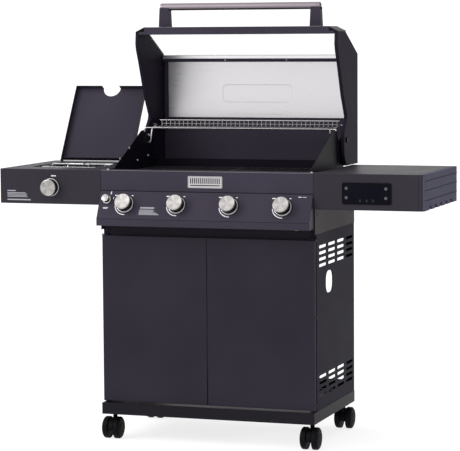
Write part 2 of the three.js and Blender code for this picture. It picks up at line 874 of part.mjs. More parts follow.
// The top panel with its rear return, and the rail that carries the lower edge of the window.
function hoodTopPanel() {
  const y = hingeY + hoodBack
  const low = hingeZ - hoodFoot
  const path = [
    [hingeY + 29, low + 12],
    [hingeY + 29, low],
    [y, low],
    [y, hoodTopZ - 74],
  ]
  const across = [-hoodHalf, hoodHalf]
  const railZ = [windowFoot[1] - 20, windowFoot[1] - glassThickness - 2]
  const rail = alongX(rounded([y - 22, y - sheet / 2], railZ, 4, 3), across)
  return alongX(folded(path, sheet), across).add(rail)
}

function hoodLiner() {
  const face = hingeY + hoodBack - 8
  const z = [hingeZ + 63, windowFoot[1] - 22]
  const half = hoodHalf - 17
  return pan([-half, half], [face, face + 6 - gap], z, 1.2, '+y')
}

function handlePost(sign) {
  const foot = hoodTopZ + frontPanelRise + gap
  const head = foot + handleHeight - gap - 4
  const outer = handleHalf + 3
  const post = alongY(
    [
      [sign * (outer + 1), foot],
      [sign * (outer - 2), head],
      [sign * (outer - postWidth + 3), head],
      [sign * (outer - postWidth), foot],
    ],
    [hingeY - 62, hingeY - 38],
  )
  const axis = [hingeY - 50, hoodTopZ + frontPanelRise + handleHeight]
  const bar = rod([-outer * 2, ...axis], [outer * 2, ...axis], handleBar + gap, 24)
  return post.subtract(bar)
}

function handleBarBody() {
  const axis = [hingeY - 50, hoodTopZ + frontPanelRise + handleHeight]
  const profile = [
    [0, -handleHalf],
    [handleBar - 1.5, -handleHalf],
    [handleBar, -handleHalf + 1.5],
    [handleBar, handleHalf - 1.5],
    [handleBar - 1.5, handleHalf],
    [0, handleHalf],
  ]
  return turned(profile, [0, ...axis], [1, 0, 0], 24)
}

// ---------------------------------------------------------------- side shelves

const shelfY = [shelfSetback, shelfSetback + shelfDepth]
const shelfZ = [shelfBottom + gap, workHeight]
const wellMargin = 9 // inside the lid's edge
const wellDepth = 30
const lidX = [sideBurnerX - lidWidth / 2, sideBurnerX + lidWidth / 2]
const lidY = [lidHingeY - 6 - lidLength, lidHingeY - 6]
const burnerY = (lidY[0] + lidY[1]) / 2

// Small upright with a round head that carries one of the lid's pins.
function lidBracket() {
  const radius = 4.8
  const head = circle([lidHingeY, lidHingeZ], radius, 16).slice(0, 9)
  return [...head, [lidHingeY - radius, workHeight - 1], [lidHingeY + radius, workHeight - 1]]
}

function leftShelf() {
  const top = workHeight
  const wellX = [lidX[0] + wellMargin, lidX[1] - wellMargin]
  const wellY = [lidY[0] + wellMargin + 4, lidY[1] - wellMargin - 4]
  const shelf = pan([-shelfSheetEnd, -shelfInner], shelfY, shelfZ, thin, '-z')
  const well = block(wellX, wellY, [top - wellDepth, top - 0.5])
  const hollow = block(
    [wellX[0] + thin, wellX[1] - thin],
    [wellY[0] + thin, wellY[1] - thin],
    [top - wellDepth + thin, top + 5],
  )
  const drain = alongZ(circle([sideBurnerX, burnerY], 16), [top - wellDepth - 2, top])
  const hole = rod([sideKnobX, shelfSetback - 5, sideKnobZ], [sideKnobX, shelfSetback + 5, sideKnobZ], 6)
  const body = cut(shelf.add(well), [hollow, drain, hole])
  const ears = [
    [lidX[0] + 4, lidX[0] + 6.5, lidX[0] - 2.5],
    [lidX[1] - 6.5, lidX[1] - 4, lidX[1] + 2.5],
  ].map(([from, to, tip]) => {
    const tab = alongX(lidBracket(), [from, to])
    const middle = (from + to) / 2
    return tab.add(rod([middle, lidHingeY, lidHingeZ], [tip, lidHingeY, lidHingeZ], lidPin, 12))
  })
  return joined([body, ...ears])
}

const displayX = [cartHalf + 88, cartHalf + 240]
const displayZ = [workHeight - 91, workHeight - 26]
const displayInset = 7

function rightShelf() {
  const shelf = pan([shelfInner, shelfSheetEnd], shelfY, shelfZ, thin, '-z')
  const open = displayInset - 0.5
  const cutOut = block(
    [displayX[0] + open, displayX[1] - open],
    [shelfSetback - 5, shelfSetback + 5],
    [displayZ[0] + open, displayZ[1] - open],
  )
  return shelf.subtract(cutOut)
}

function displayPanel() {
  const face = alongY(rounded(displayX, displayZ, 6, 3), [shelfSetback - 3, shelfSetback - gap])
  const box = block(
    [displayX[0] + displayInset, displayX[1] - displayInset],
    [shelfSetback - 1, shelfSetback + 32],
    [displayZ[0] + displayInset, displayZ[1] - displayInset],
  )
  return face.add(box)
}

const hookPitch = 68
const hookWidth = 24

// Moulded cap over a shelf's outer end: ribs along its face and notches for tool hooks below.
function shelfEnd(sign) {
  const x = span(sign, shelfOuter - shelfEndWidth, shelfOuter)
  const outline = sign > 0 ? endOutline() : mirrorX(endOutline())
  const z = [shelfBottom + gap, workHeight]
  const hollowX = span(sign, shelfOuter - shelfEndWidth - 3, shelfOuter - 4)
  const hollow = block(hollowX, [shelfY[0] + 6, shelfY[1] - 6], [z[0] + 4, z[1] - 4])
  const tools = [hollow]
  for (const level of [18, 46, 76]) {
    const groove = block(
      span(sign, shelfOuter - 1.5, shelfOuter + 2),
      [shelfY[0] - 2, shelfY[1] + 2],
      [z[1] - level - 3, z[1] - level],
    )
    tools.push(groove)
  }
  for (let i = 0; i < 5; i += 1) {
    const y = (shelfY[0] + shelfY[1]) / 2 + (i - 2) * hookPitch
    tools.push(block([x[0] - 5, x[1] + 5], [y - hookWidth / 2, y + hookWidth / 2], [z[0] - 5, z[0] + 12]))
  }
  return cut(alongZ(outline, z), tools)
}

function endOutline() {
  const radius = 12
  const x = [shelfOuter - shelfEndWidth, shelfOuter]
  const points = [[x[0], shelfY[1]], [x[0], shelfY[0]]]
  const corner = (centreY, from) => {
    for (let i = 0; i <= 4; i += 1) {
      const angle = from + (i / 4) * (Math.PI / 2)
      points.push([x[1] - radius + radius * Math.cos(angle), centreY + radius * Math.sin(angle)])
    }
  }
  corner(shelfY[0] + radius, -Math.PI / 2)
  corner(shelfY[1] - radius, 0)
  return points
}

// ---------------------------------------------------------------- side burner and its lid

const burnerFloor = workHeight - wellDepth + thin

function sideBurner() {
  const foot = [sideBurnerX, burnerY, 0]
  const head = turned(
    [
      [0, burnerFloor - 22],
      [11, burnerFloor - 22],
      [11, burnerFloor + 1],
      [38, burnerFloor + 6],
      [40, burnerFloor + 16],
      [34, burnerFloor + 20],
      [0, burnerFloor + 20],
    ],
    foot,
    [0, 0, 1],
    20,
  )
  const elbow = [sideBurnerX, burnerY, burnerFloor - 20]
  const valve = [sideKnobX, shelfSetback + 36, sideKnobZ]
  const tube = rod(elbow, valve, 9, 12)
  const valveBody = block(
    [sideKnobX - 12, sideKnobX + 12],
    [shelfSetback + 18, shelfSetback + 44],
    [sideKnobZ - 12, sideKnobZ + 12],
  )
  const join = new THREE.SphereGeometry(11, 10, 6).translate(...elbow)
  return joined([head, tube, valveBody, solid(join)])
}

function sideTrivet() {
  const half = 95
  const x = [sideBurnerX - half, sideBurnerX + half]
  const y = [burnerY - half, burnerY + half]
  const z = [burnerFloor + 22, burnerFloor + 28]
  const inner = rounded([x[0] + 6, x[1] - 6], [y[0] + 6, y[1] - 6], 12)
  const pieces = [alongZ(rounded(x, y, 16), z, [inner])]
  const reach = 62
  const finger = [z[0], z[1] + 5]
  const across = [sideBurnerX - 2.5, sideBurnerX + 2.5]
  const along = [burnerY - 2.5, burnerY + 2.5]
  pieces.push(block(across, [y[0] + 1, y[0] + reach], finger))
  pieces.push(block(across, [y[1] - reach, y[1] - 1], finger))
  pieces.push(block([x[0] + 1, x[0] + reach], along, finger))
  pieces.push(block([x[1] - reach, x[1] - 1], along, finger))
  for (const footX of [x[0] + 6, x[1] - 12]) {
    for (const footY of [y[0] + 6, y[1] - 12]) {
      pieces.push(block([footX, footX + 6], [footY, footY + 6], [burnerFloor + gap, z[1]]))
    }
  }
  return joined(pieces)
}

// Built shut over the burner, then turned open about its hinge.
function sideLid() {
  const foot = workHeight + gap
  const top = foot + lidDepth
  const shell = pan(lidX, lidY, [foot, top], thin, '-z')
  const notch = alongZ(circle([sideBurnerX, lidY[0]], 30, 28), [foot - 2, top + 2])
  const ears = lidX.map((edge, i) => {
    const x = i === 0 ? [edge, edge + thin] : [edge - thin, edge]
    const ear = alongX(
      [
        [lidY[1] - 8, lidHingeZ - 4.5],
        [lidHingeY + 2, lidHingeZ - 4.5],
        [lidHingeY + 5, lidHingeZ - 2],
        [lidHingeY + 5, lidHingeZ + 3],
        [lidY[1] - 1, top - 1],
        [lidY[1] - 8, top - 1],
      ],
      x,
    )
    return ear
  })
  const pins = rod([lidX[0] - 5, lidHingeY, lidHingeZ], [lidX[1] + 5, lidHingeY, lidHingeZ], lidPin + gap, 12)
  const shut = cut(joined([shell, ...ears]), [notch, pins])
  return shut
    .translate([0, -lidHingeY, -lidHingeZ])
    .rotate([-lidAngle, 0, 0])
    .translate([0, lidHingeY, lidHingeZ])
}

// ---------------------------------------------------------------- assembly

add('base_tray', baseTray(), 'darkPaint')
for (const { name, sign } of sides) {
  add(`side_panel_${name}`, sidePanel(sign), 'darkPaint')
}
add('rear_frame', rearFrame(), 'blackSteel')
add('front_rail', frontRail(), 'blackSteel')
add('grease_tray', greaseTray(), 'stainless')
for (const { name, sign } of sides) {
  add(`door_${name}`, door(sign), 'darkPaint')
}
for (const [name, x, y, facing] of casterPlaces()) {
  add(`caster_${name}_swivel`, casterBody(x, y, facing), 'blackPlastic')
  add(`caster_${name}_wheels`, casterWheels(x, y, facing), 'blackPlastic')
}

add('control_panel', controlPanel(), 'darkPaint')
add('gas_manifold', gasManifold(), 'brass')
knobXs.forEach((x, i) => {
  const foot = [x, ...onPanel(knobShare)]
  add(`knob_${i + 1}`, knob(foot, panelOut), 'stainless')
  add(`bezel_${i + 1}`, bezel(foot, panelOut), 'chrome')
})
add('igniter_button', igniterButton(), 'stainless')

add('firebox', firebox(), 'blackSteel')
add('drip_funnel', dripFunnel(), 'stainless')
knobXs.forEach((x, i) => {
  add(`burner_${i + 1}`, burner(x), 'stainless')
  add(`flame_tamer_${i + 1}`, flameTamer(x), 'stainless')
})
for (const { name, sign } of sides) {
  add(`cooking_grate_${name}`, cookingGrate(sign), 'castIron')
}
add('warming_rack', warmingRack(), 'chrome')
add('rack_bail', rackBail(), 'chrome')

for (const { name, sign } of sides) {
  add(`hood_cap_${name}`, hoodCap(sign), 'darkPaint')
  add(`handle_post_${name}`, handlePost(sign), 'darkPaint')
}
add('hood_front_panel', hoodFrontPanel(), 'darkPaint')
add('hood_window', hoodWindow(), 'glass')
add('hood_top_panel', hoodTopPanel(), 'darkPaint')
add('hood_liner', hoodLiner(), 'stainless')
add('handle_bar', handleBarBody(), 'brushed')

add('left_shelf', leftShelf(), 'warmPaint')
add('right_shelf', rightShelf(), 'warmPaint')
for (const { name, sign } of sides) {
  add(`${name}_shelf_end`, shelfEnd(sign), 'greyPlastic')
}
add('display_panel', displayPanel(), 'glossBlack')
add('side_burner', sideBurner(), 'castIron')
add('side_trivet', sideTrivet(), 'chrome')
add('side_lid', sideLid(), 'darkPaint')
const sideKnobFoot = [sideKnobX, shelfSetback, sideKnobZ]
add('side_knob', knob(sideKnobFoot, [0, -1, 0]), 'stainless')
add('side_bezel', bezel(sideKnobFoot, [0, -1, 0]), 'chrome')

// The origin is on the floor, under the middle of the whole.
grill.updateMatrixWorld(true)
const box = new THREE.Box3().setFromObject(grill)
grill.position.set(-(box.min.x + box.max.x) / 2, -(box.min.y + box.max.y) / 2, -box.min.z)
grill.updateMatrixWorld(true)

export default grill
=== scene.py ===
"""Looks of the gas barbecue grill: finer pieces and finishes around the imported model.

Metres, +X to the cook's right, +Y to the back, +Z up, hood and side-burner lid open.
"""

import json
import math

import bmesh
import bpy
from mathutils import Matrix, Vector


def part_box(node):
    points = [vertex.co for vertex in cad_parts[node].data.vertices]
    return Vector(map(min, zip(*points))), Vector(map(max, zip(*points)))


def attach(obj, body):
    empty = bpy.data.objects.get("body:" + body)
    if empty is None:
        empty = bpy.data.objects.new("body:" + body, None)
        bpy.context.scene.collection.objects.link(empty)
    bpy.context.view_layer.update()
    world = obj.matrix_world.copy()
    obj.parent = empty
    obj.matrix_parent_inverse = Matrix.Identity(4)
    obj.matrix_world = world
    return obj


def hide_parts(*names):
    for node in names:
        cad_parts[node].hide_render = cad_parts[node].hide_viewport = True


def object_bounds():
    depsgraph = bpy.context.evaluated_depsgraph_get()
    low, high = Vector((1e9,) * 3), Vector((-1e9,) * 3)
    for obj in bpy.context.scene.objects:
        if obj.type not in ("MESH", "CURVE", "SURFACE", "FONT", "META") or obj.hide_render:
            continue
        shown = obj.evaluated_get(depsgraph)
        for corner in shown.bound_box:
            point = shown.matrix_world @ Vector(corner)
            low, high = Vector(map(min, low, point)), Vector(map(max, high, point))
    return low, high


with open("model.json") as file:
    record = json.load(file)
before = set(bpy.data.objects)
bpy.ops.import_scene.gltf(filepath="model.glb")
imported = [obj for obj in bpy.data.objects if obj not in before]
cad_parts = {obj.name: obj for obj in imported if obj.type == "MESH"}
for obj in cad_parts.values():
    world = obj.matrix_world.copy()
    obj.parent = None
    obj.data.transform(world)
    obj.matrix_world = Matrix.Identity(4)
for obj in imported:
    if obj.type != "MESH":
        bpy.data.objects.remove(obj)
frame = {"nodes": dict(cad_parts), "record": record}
cad_low, cad_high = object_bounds()

X, Y, Z = Vector((1, 0, 0)), Vector((0, 1, 0)), Vector((0, 0, 1))
SIDES = (("left", -1), ("right", 1))


# ---- shader maths

class Value:
    """A socket of a finish, with operators that add its Math nodes."""

    def __init__(self, finish, socket):
        self.finish = finish
        self.socket = socket

    def math(self, operation, *inputs):
        return self.finish.node("Math", {"operation": operation}, dict(enumerate(inputs)))

    def __add__(self, other):
        return self.math("ADD", self, other)

    def __sub__(self, other):
        return self.math("SUBTRACT", self, other)

    def __mul__(self, other):
        return self.math("MULTIPLY", self, other)

    def __rsub__(self, other):
        return self.math("SUBTRACT", other, self)

    __radd__ = __add__
    __rmul__ = __mul__


class Finish:
    """A material whose Principled shader is set by name, with constants or with values."""

    def __init__(self, name, **sockets):
        self.material = bpy.data.materials.new(name)
        self.material.use_nodes = True
        self.tree = self.material.node_tree
        self.shader = self.tree.nodes["Principled BSDF"]
        for label, value in sockets.items():
            self.set(label.replace("_", " "), value)

    def set(self, label, value):
        """Sets one of the shader's own sockets."""
        self.feed(self.shader.inputs[label], value)

    def feed(self, socket, value):
        """Links a value to a socket, or sets a constant on it."""
        if isinstance(value, Value):
            self.tree.links.new(value.socket, socket)
        elif socket.type == "RGBA" and len(value) == 3:
            socket.default_value = (*value, 1)
        else:
            socket.default_value = value

    def node(self, kind, settings=None, inputs=None, output=0):
        """A node of a type, with its settings and its inputs, as the value of one output."""
        made = self.tree.nodes.new("ShaderNode" + kind)
        for label, value in (settings or {}).items():
            setattr(made, label, value)
        for label, value in (inputs or {}).items():
            self.feed(made.inputs[label], value)
        return Value(self, made.outputs[output])

    def place(self, scale=(1, 1, 1), origin=(0, 0, 0), turn=(0, 0, 0)):
        """Object coordinates about an origin, turned and then stretched."""
        here = self.node("TexCoord", output="Object")
        back = tuple(-part for part in origin)
        moved = self.node("Mapping", inputs={"Vector": here, "Location": back})
        turned = self.node("Mapping", inputs={"Vector": moved, "Rotation": turn})
        return self.node("Mapping", inputs={"Vector": turned, "Scale": scale})

    def noise(self, scale, detail, place=None):
        """Noise from 0 to 1 in a place, or on plain object coordinates."""
        inputs = {"Scale": scale, "Detail": detail, "Vector": place or self.place()}
        return self.node("TexNoise", inputs=inputs)

    def between(self, value, low, high, to_low=0.0, to_high=1.0):
        """The value's range low to high, spread over another range."""
        inputs = {0: value, 1: low, 2: high, 3: to_low, 4: to_high}
        return self.node("MapRange", {"clamp": True}, inputs)

    def mix(self, factor, first, second):
        """Colours, from the first at factor 0 to the second at 1."""
        made = self.tree.nodes.new("ShaderNodeMix")
        made.data_type = "RGBA"
        colours = [socket for socket in made.inputs if socket.type == "RGBA"]
        self.feed(made.inputs["Factor"], factor)
        self.feed(colours[0], first)
        self.feed(colours[1], second)
        return Value(self, next(socket for socket in made.outputs if socket.type == "RGBA"))

    def bump(self, height, distance, strength):
        """Relief of a height map, felt by the shader's normal."""
        inputs = {"Height": height, "Distance": distance, "Strength": strength}
        self.set("Normal", self.node("Bump", inputs=inputs))


def shade(colour, factor):
    """A colour made darker or lighter."""
    return tuple(part * factor for part in colour)


def powder_coat(name, colour, roughness=0.42, gloss=0.06):
    """Baked powder coat: orange peel, a fine fleck and a faintly cloudy tone."""
    finish = Finish(name, Metallic=0.0, Specular_IOR_Level=gloss)
    cloud = finish.noise(4.0, 3.0)
    fleck = finish.noise(1500.0, 2.0)
    peel = finish.noise(380.0, 2.0)
    tone = finish.between(cloud * 0.6 + fleck * 0.4, 0.35, 0.65)
    finish.set("Base Color", finish.mix(tone, shade(colour, 0.88), shade(colour, 1.14)))
    rough = finish.between(peel * 0.4 + cloud * 0.6, 0.35, 0.65, roughness - 0.05, roughness + 0.06)
    finish.set("Roughness", rough)
    finish.bump(peel + fleck * 0.3, 0.00005, 0.6)
    return finish.material


def brushed_steel(name, colour, roughness, cloudy=0.1):
    """Steel with its grain from left to right."""
    finish = Finish(name, Metallic=1.0)
    grain = finish.noise(1.0, 3.0, finish.place(scale=(9.0, 700.0, 700.0)))
    cloud = finish.noise(3.0, 2.0)
    tone = finish.between(grain * 0.6 + cloud * 0.4, 0.3, 0.7)
    finish.set("Base Color", finish.mix(tone, shade(colour, 1 - cloudy), shade(colour, 1 + cloudy / 2)))
    finish.set("Roughness", finish.between(grain, 0.3, 0.7, roughness - 0.05, roughness + 0.1))
    finish.bump(grain, 0.00002, 0.5)
    return finish.material


def plated_wire(name, colour, roughness=0.16):
    """Smooth plating under a thin uneven film."""
    finish = Finish(name, Metallic=1.0)
    film = finish.noise(90.0, 3.0)
    finish.set("Base Color", finish.mix(finish.between(film, 0.35, 0.7), colour, shade(colour, 0.8)))
    finish.set("Roughness", finish.between(film, 0.3, 0.7, roughness, roughness + 0.14))
    return finish.material


def seasoned_iron(name):
    """Sand-cast iron, oiled and blackened unevenly."""
    finish = Finish(name, Metallic=0.0, Specular_IOR_Level=0.2)
    sand = finish.noise(700.0, 4.0)
    blotch = finish.noise(30.0, 3.0)
    tone = finish.between(blotch, 0.35, 0.7)
    finish.set("Base Color", finish.mix(tone, (0.008, 0.007, 0.009), (0.020, 0.018, 0.021)))
    finish.set("Roughness", finish.between(sand, 0.3, 0.7, 0.45, 0.7))
    finish.bump(sand, 0.0002, 0.7)
    return finish.material


def moulded(name, colour, roughness=0.5, *, gloss):
    """Grained moulded plastic."""
    finish = Finish(name, Metallic=0.0, Specular_IOR_Level=gloss)
    leather = finish.noise(900.0, 2.0)
    cloud = finish.noise(7.0, 3.0)
    finish.set("Base Color", finish.mix(cloud, shade(colour, 0.82), shade(colour, 1.18)))
    finish.set("Roughness", finish.between(leather, 0.3, 0.7, roughness - 0.05, roughness + 0.1))
    finish.bump(leather, 0.00008, 0.6)
    return finish.material


def display_gloss(name):
    """Glossy black screen with faint smears."""
    finish = Finish(name, Metallic=0.0, Specular_IOR_Level=0.03)
    smear = finish.noise(14.0, 4.0)
    finish.set("Base Color", finish.mix(smear, (0.002, 0.002, 0.005), (0.005, 0.005, 0.010)))
    finish.set("Roughness", finish.between(smear, 0.35, 0.7, 0.12, 0.26))
    return finish.material


def window_glass(name):
    """Clear glass with a thin film on it."""
    finish = Finish(name, Metallic=0.0)
    film = finish.noise(9.0, 3.0)
    finish.set("Base Color", finish.mix(film, (0.90, 0.93, 0.93), (0.96, 0.98, 0.98)))
    finish.set("Roughness", finish.between(film, 0.3, 0.7, 0.02, 0.06))
    finish.set("Alpha", finish.between(film, 0.3, 0.7, 0.04, 0.08))
    return finish.material


def spun_steel_with_painted_sheen(name, centre, tilt):
    """A turned face: fine rings, and a painted sheen of lighter and darker sectors round its middle."""
    colour = (0.34, 0.325, 0.32)
    finish = Finish(name, Metallic=1.0)
    face = finish.place(origin=centre, turn=(tilt, 0, 0))
    across = finish.node("SeparateXYZ", inputs={"Vector": face})
    up = Value(finish, across.socket.node.outputs["Z"])
    turn = up.math("ARCTAN2", up, across)
    radius = across.math("SQRT", across * across + up * up)
    # painted sheen: lighter and darker sectors fixed round the face stand in for its reflections
    painted_sheen = turn.math("SINE", turn * 4.0 + 0.6) * 0.5 + 0.5
    loose = finish.node("CombineXYZ", inputs={"X": turn * 9.0, "Y": radius * 20.0})
    streaks = finish.noise(1.0, 3.0, loose)
    rings = radius.math("SINE", radius * 9000.0) * 0.5 + 0.5
    tone = finish.between(painted_sheen * 0.35 + streaks * 0.9, 0.25, 0.95)
    finish.set("Base Color", finish.mix(tone, shade(colour, 0.62), shade(colour, 1.12)))
    finish.set("Roughness", finish.between(streaks, 0.3, 0.7, 0.24, 0.38))
    finish.bump(rings, 0.000012, 0.4)
    return finish.material


def printed_ink(name, colour):
    """Matt ink with a fine speck."""
    finish = Finish(name, Metallic=0.0, Roughness=0.6)
    speck = finish.noise(1800.0, 2.0)
    finish.set("Base Color", finish.mix(finish.between(speck, 0.3, 0.7), shade(colour, 0.75), colour))
    return finish.material


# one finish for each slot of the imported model
finishes = {
    "graphite_paint": powder_coat("graphite_paint", (0.031, 0.0265, 0.040)),
    # the shelves carry the graphite paint; this warmer, darker copy paints the light falling on them into
    # their tone
    "warm_paint": powder_coat("shelf_painted_light_tone", (0.025, 0.0215, 0.029), 0.42, 0.05),
    "black_steel": powder_coat("black_enamel", (0.006, 0.0048, 0.0085), 0.38, 0.03),
    "stainless": brushed_steel("stainless", (0.60, 0.59, 0.61), 0.30),
    "chrome": plated_wire("chrome", (0.60, 0.59, 0.60)),
    "dark_brushed": brushed_steel("dark_brushed", (0.235, 0.20, 0.225), 0.34),
    "cast_iron": seasoned_iron("cast_iron"),
    "brass": brushed_steel("valve_brass", (0.52, 0.37, 0.14), 0.35),
    "black_plastic": moulded("caster_nylon", (0.003, 0.003, 0.004), gloss=0.05),
    "grey_plastic": moulded("shelf_end_plastic", (0.050, 0.047, 0.082), gloss=0.03),
    "gloss_black": display_gloss("display_gloss"),
    "window_glass": window_glass("window_glass"),
}

# finishes of single pieces
# a darker copy of the graphite paint: painted shade on the doors
door_shaded_paint = powder_coat("door_shaded_paint", (0.020, 0.0168, 0.0245), 0.45, 0.04)
tray_paint = powder_coat("tray_paint", (0.007, 0.006, 0.009), 0.45, 0.08)
liner_steel = brushed_steel("liner_steel", (0.495, 0.485, 0.50), 0.32, cloudy=0.04)
bezel_chrome = plated_wire("bezel_chrome", (0.30, 0.30, 0.31), 0.2)
knob_black = moulded("knob_black", (0.006, 0.006, 0.007), 0.35, gloss=0.15)
white_ink = printed_ink("white_ink", (0.72, 0.72, 0.75))
grey_ink = printed_ink("grey_ink", (0.28, 0.28, 0.31))
badge_plate = brushed_steel("badge_plate", (0.33, 0.32, 0.33), 0.28)
badge_field = brushed_steel("badge_field", (0.42, 0.41, 0.42), 0.42)
fastener_zinc = plated_wire("fastener_zinc", (0.50, 0.49, 0.50), 0.25)
fastener_black = plated_wire("fastener_black", (0.05, 0.05, 0.055), 0.3)
key_grey = moulded("key_grey", (0.075, 0.075, 0.082), 0.4, gloss=0.1)
display_black = moulded("display_black", (0.003, 0.003, 0.004), 0.4, gloss=0.03)
# a darker copy of the graphite paint: painted shade on the side walls and the hood caps
side_shaded_paint = powder_coat("side_shaded_paint", (0.0135, 0.0108, 0.0195), 0.5, 0.02)
# a darker copy of the graphite paint: painted shade on the front rail under the control panel
rail_shaded_paint = powder_coat("rail_shaded_paint", (0.014, 0.012, 0.018), 0.42, 0.04)
# a light plastic: a painted highlight along each shelf end's front corner
end_painted_highlight = moulded("shelf_end_painted_highlight", (0.16, 0.15, 0.23), gloss=0.2)
rack_chrome = plated_wire("rack_chrome", (0.34, 0.33, 0.34), 0.2)
bracket_paint = powder_coat("bracket_paint", (0.020, 0.0155, 0.0165), 0.4, 0.035)
# a light copy of the graphite paint: a painted highlight along the control panel's top edge
painted_highlight_edge = powder_coat("painted_highlight_edge", (0.13, 0.125, 0.135), 0.35, 0.2)

slot_of = {part["node"]: part["material_slot"] for part in frame["record"]["subparts"]}
body_of = {
    node: body
    for body, nodes in frame["record"]["behaviour"]["bodies"].items()
    for node in nodes
}


# ---- modelling helpers

def piece(name, bm, slot, body, replaced=(), finish=None, crease=32):
    """The finished mesh as an object that rides on a body, with smooth stretches shaded smooth."""
    mesh = bpy.data.meshes.new(name)
    bm.to_mesh(mesh)
    bm.free()
    mesh.shade_smooth()
    mesh.set_sharp_from_angle(angle=math.radians(crease))
    mesh.materials.append(finish or finishes[slot])
    made = bpy.data.objects.new(name, mesh)
    bpy.context.collection.objects.link(made)
    weighted = made.modifiers.new("flat_faces_stay_flat", "WEIGHTED_NORMAL")
    weighted.keep_sharp = True
    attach(made, body)
    if replaced:
        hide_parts(*replaced)


SAME_SPOT = 0.00001


def merged(node):
    """A copy of a CAD node, its triangles joined into flat faces."""
    bm = bmesh.new()
    bm.from_mesh(frame["nodes"][node].data)
    bmesh.ops.remove_doubles(bm, verts=bm.verts, dist=SAME_SPOT)
    flat = math.radians(0.6)
    bmesh.ops.dissolve_limit(bm, angle_limit=flat, verts=bm.verts, edges=bm.edges)
    return bm


def soften(bm, edges, width, segments):
    """Rounds the given edges."""
    return bmesh.ops.bevel(
        bm, geom=edges, offset=width, offset_type="OFFSET", affect="EDGES",
        segments=segments, profile=0.5, material=-1,
    )


def round_edges(bm, width, segments, least):
    """Rounds every edge that turns by more than the least angle, in degrees."""
    sharp = [
        edge for edge in bm.edges
        if len(edge.link_faces) == 2 and edge.calc_face_angle(0) > math.radians(least)
    ]
    soften(bm, sharp, width, segments)


def refined(node, width, finish=None, least=24, segments=3):
    """A CAD node's own shape with its edges rounded."""
    bm = merged(node)
    round_edges(bm, width, segments, least)
    piece(f"{node}_formed", bm, slot_of[node], body_of[node], (node,), finish)


def turn_outwards(bm, verts):
    """Points the faces of the given vertices outwards."""
    faces = list({face for vert in verts for face in vert.link_faces})
    bmesh.ops.recalc_face_normals(bm, faces=faces)


def box(bm, low, high, bevel=0.0, segments=2, place=None):
    """A block between two corners, with rounded edges, optionally put in place by a matrix."""
    low, high = Vector(low), Vector(high)
    size = high - low
    matrix = Matrix.Translation((low + high) / 2) @ Matrix.Diagonal((*size, 1))
    verts = bmesh.ops.create_cube(bm, size=1, matrix=matrix)["verts"]
    if bevel:
        edges = list({edge for vert in verts for edge in vert.link_edges})
        made = soften(bm, edges, bevel, segments)
        verts = whole([vert for face in made["faces"] for vert in face.verts])
    if place is not None:
        bmesh.ops.transform(bm, matrix=place, verts=verts)
    return verts


def whole(verts):
    """Every vertex joined to the given ones, in an order that stays the same."""
    found = dict.fromkeys(verts)
    front = list(found)
    while front:
        vert = front.pop()
        for edge in vert.link_edges:
            other = edge.other_vert(vert)
            if other not in found:
                found[other] = True
                front.append(other)
    return list(found)


def facing(foot, direction):
    """A place whose Z runs along a direction, with its X level where it can be."""
    out = Vector(direction).normalized()
    side = Z.cross(out)
    side = side.normalized() if side.length > 0.001 else X
    up = out.cross(side)
    return Matrix.Translation(foot) @ Matrix((side, up, out)).transposed().to_4x4()


def lathe(bm, profile, place, steps):
    """Spins a profile of (radius, height) round the place's Z."""
    verts = [bm.verts.new((radius, 0, height)) for radius, height in profile]
    edges = [bm.edges.new(pair) for pair in zip(verts, verts[1:])]
    bmesh.ops.spin(
        bm, geom=verts + edges, cent=(0, 0, 0), axis=(0, 0, 1), angle=2 * math.pi,
        steps=steps, use_merge=True,
    )
    ring = whole(verts)
    bmesh.ops.remove_doubles(bm, verts=ring, dist=0.000001)
    ring = [vert for vert in ring if vert.is_valid]
    turn_outwards(bm, ring)
    bmesh.ops.transform(bm, matrix=place, verts=ring)
    return ring


def arc(centre, radius, start, end, steps):
    """Points of a plane arc, in degrees."""
    points = []
    for step in range(steps + 1):
        angle = math.radians(start + (end - start) * step / steps)
        points.append((centre[0] + radius * math.cos(angle), centre[1] + radius * math.sin(angle)))
    return points


def bent(points, radius, steps):
    """A path with each inner corner turned into an arc."""
    points = [Vector(point) for point in points]
    path = [points[0]]
    for before, corner, after in zip(points, points[1:], points[2:]):
        back, on = (before - corner).normalized(), (after - corner).normalized()
        half = back.angle(on) / 2
        reach = radius / math.tan(half)
        middle = corner + (back + on).normalized() * radius / math.sin(half)
        start, end = corner + back * reach - middle, corner + on * reach - middle
        for step in range(steps + 1):
            path.append(middle + start.slerp(end, step / steps) * radius)
    return path + [points[-1]]


def wire(bm, points, radius, sides, corner=0.0, steps=4):
    """A round rod swept along a path, closed at both ends."""
    path = bent(points, corner, steps) if corner else [Vector(point) for point in points]
    headings = [(b - a).normalized() for a, b in zip(path, path[1:])]
    normals = [headings[0]]
    normals += [(a + b).normalized() for a, b in zip(headings, headings[1:])] + [headings[-1]]
    place = Matrix.Translation(path[0]) @ Z.rotation_difference(normals[0]).to_matrix().to_4x4()
    ring = bmesh.ops.create_circle(bm, segments=sides, radius=radius, cap_ends=True, matrix=place)["verts"]
    every = list(ring)
    edges = list({edge for vert in ring for edge in vert.link_edges})
    for index in range(1, len(path)):
        made = bmesh.ops.extrude_edge_only(bm, edges=edges)["geom"]
        ring = [part for part in made if isinstance(part, bmesh.types.BMVert)]
        chosen = set(ring)
        edges = [
            part for part in made
            if isinstance(part, bmesh.types.BMEdge) and set(part.verts) <= chosen
        ]
        bmesh.ops.translate(bm, vec=path[index] - path[index - 1], verts=ring)
        turn = normals[index - 1].rotation_difference(normals[index]).to_matrix()
        bmesh.ops.rotate(bm, cent=path[index], matrix=turn, verts=ring)
        every += ring
    bmesh.ops.edgeloop_fill(bm, edges=edges)
    turn_outwards(bm, every)
    return every


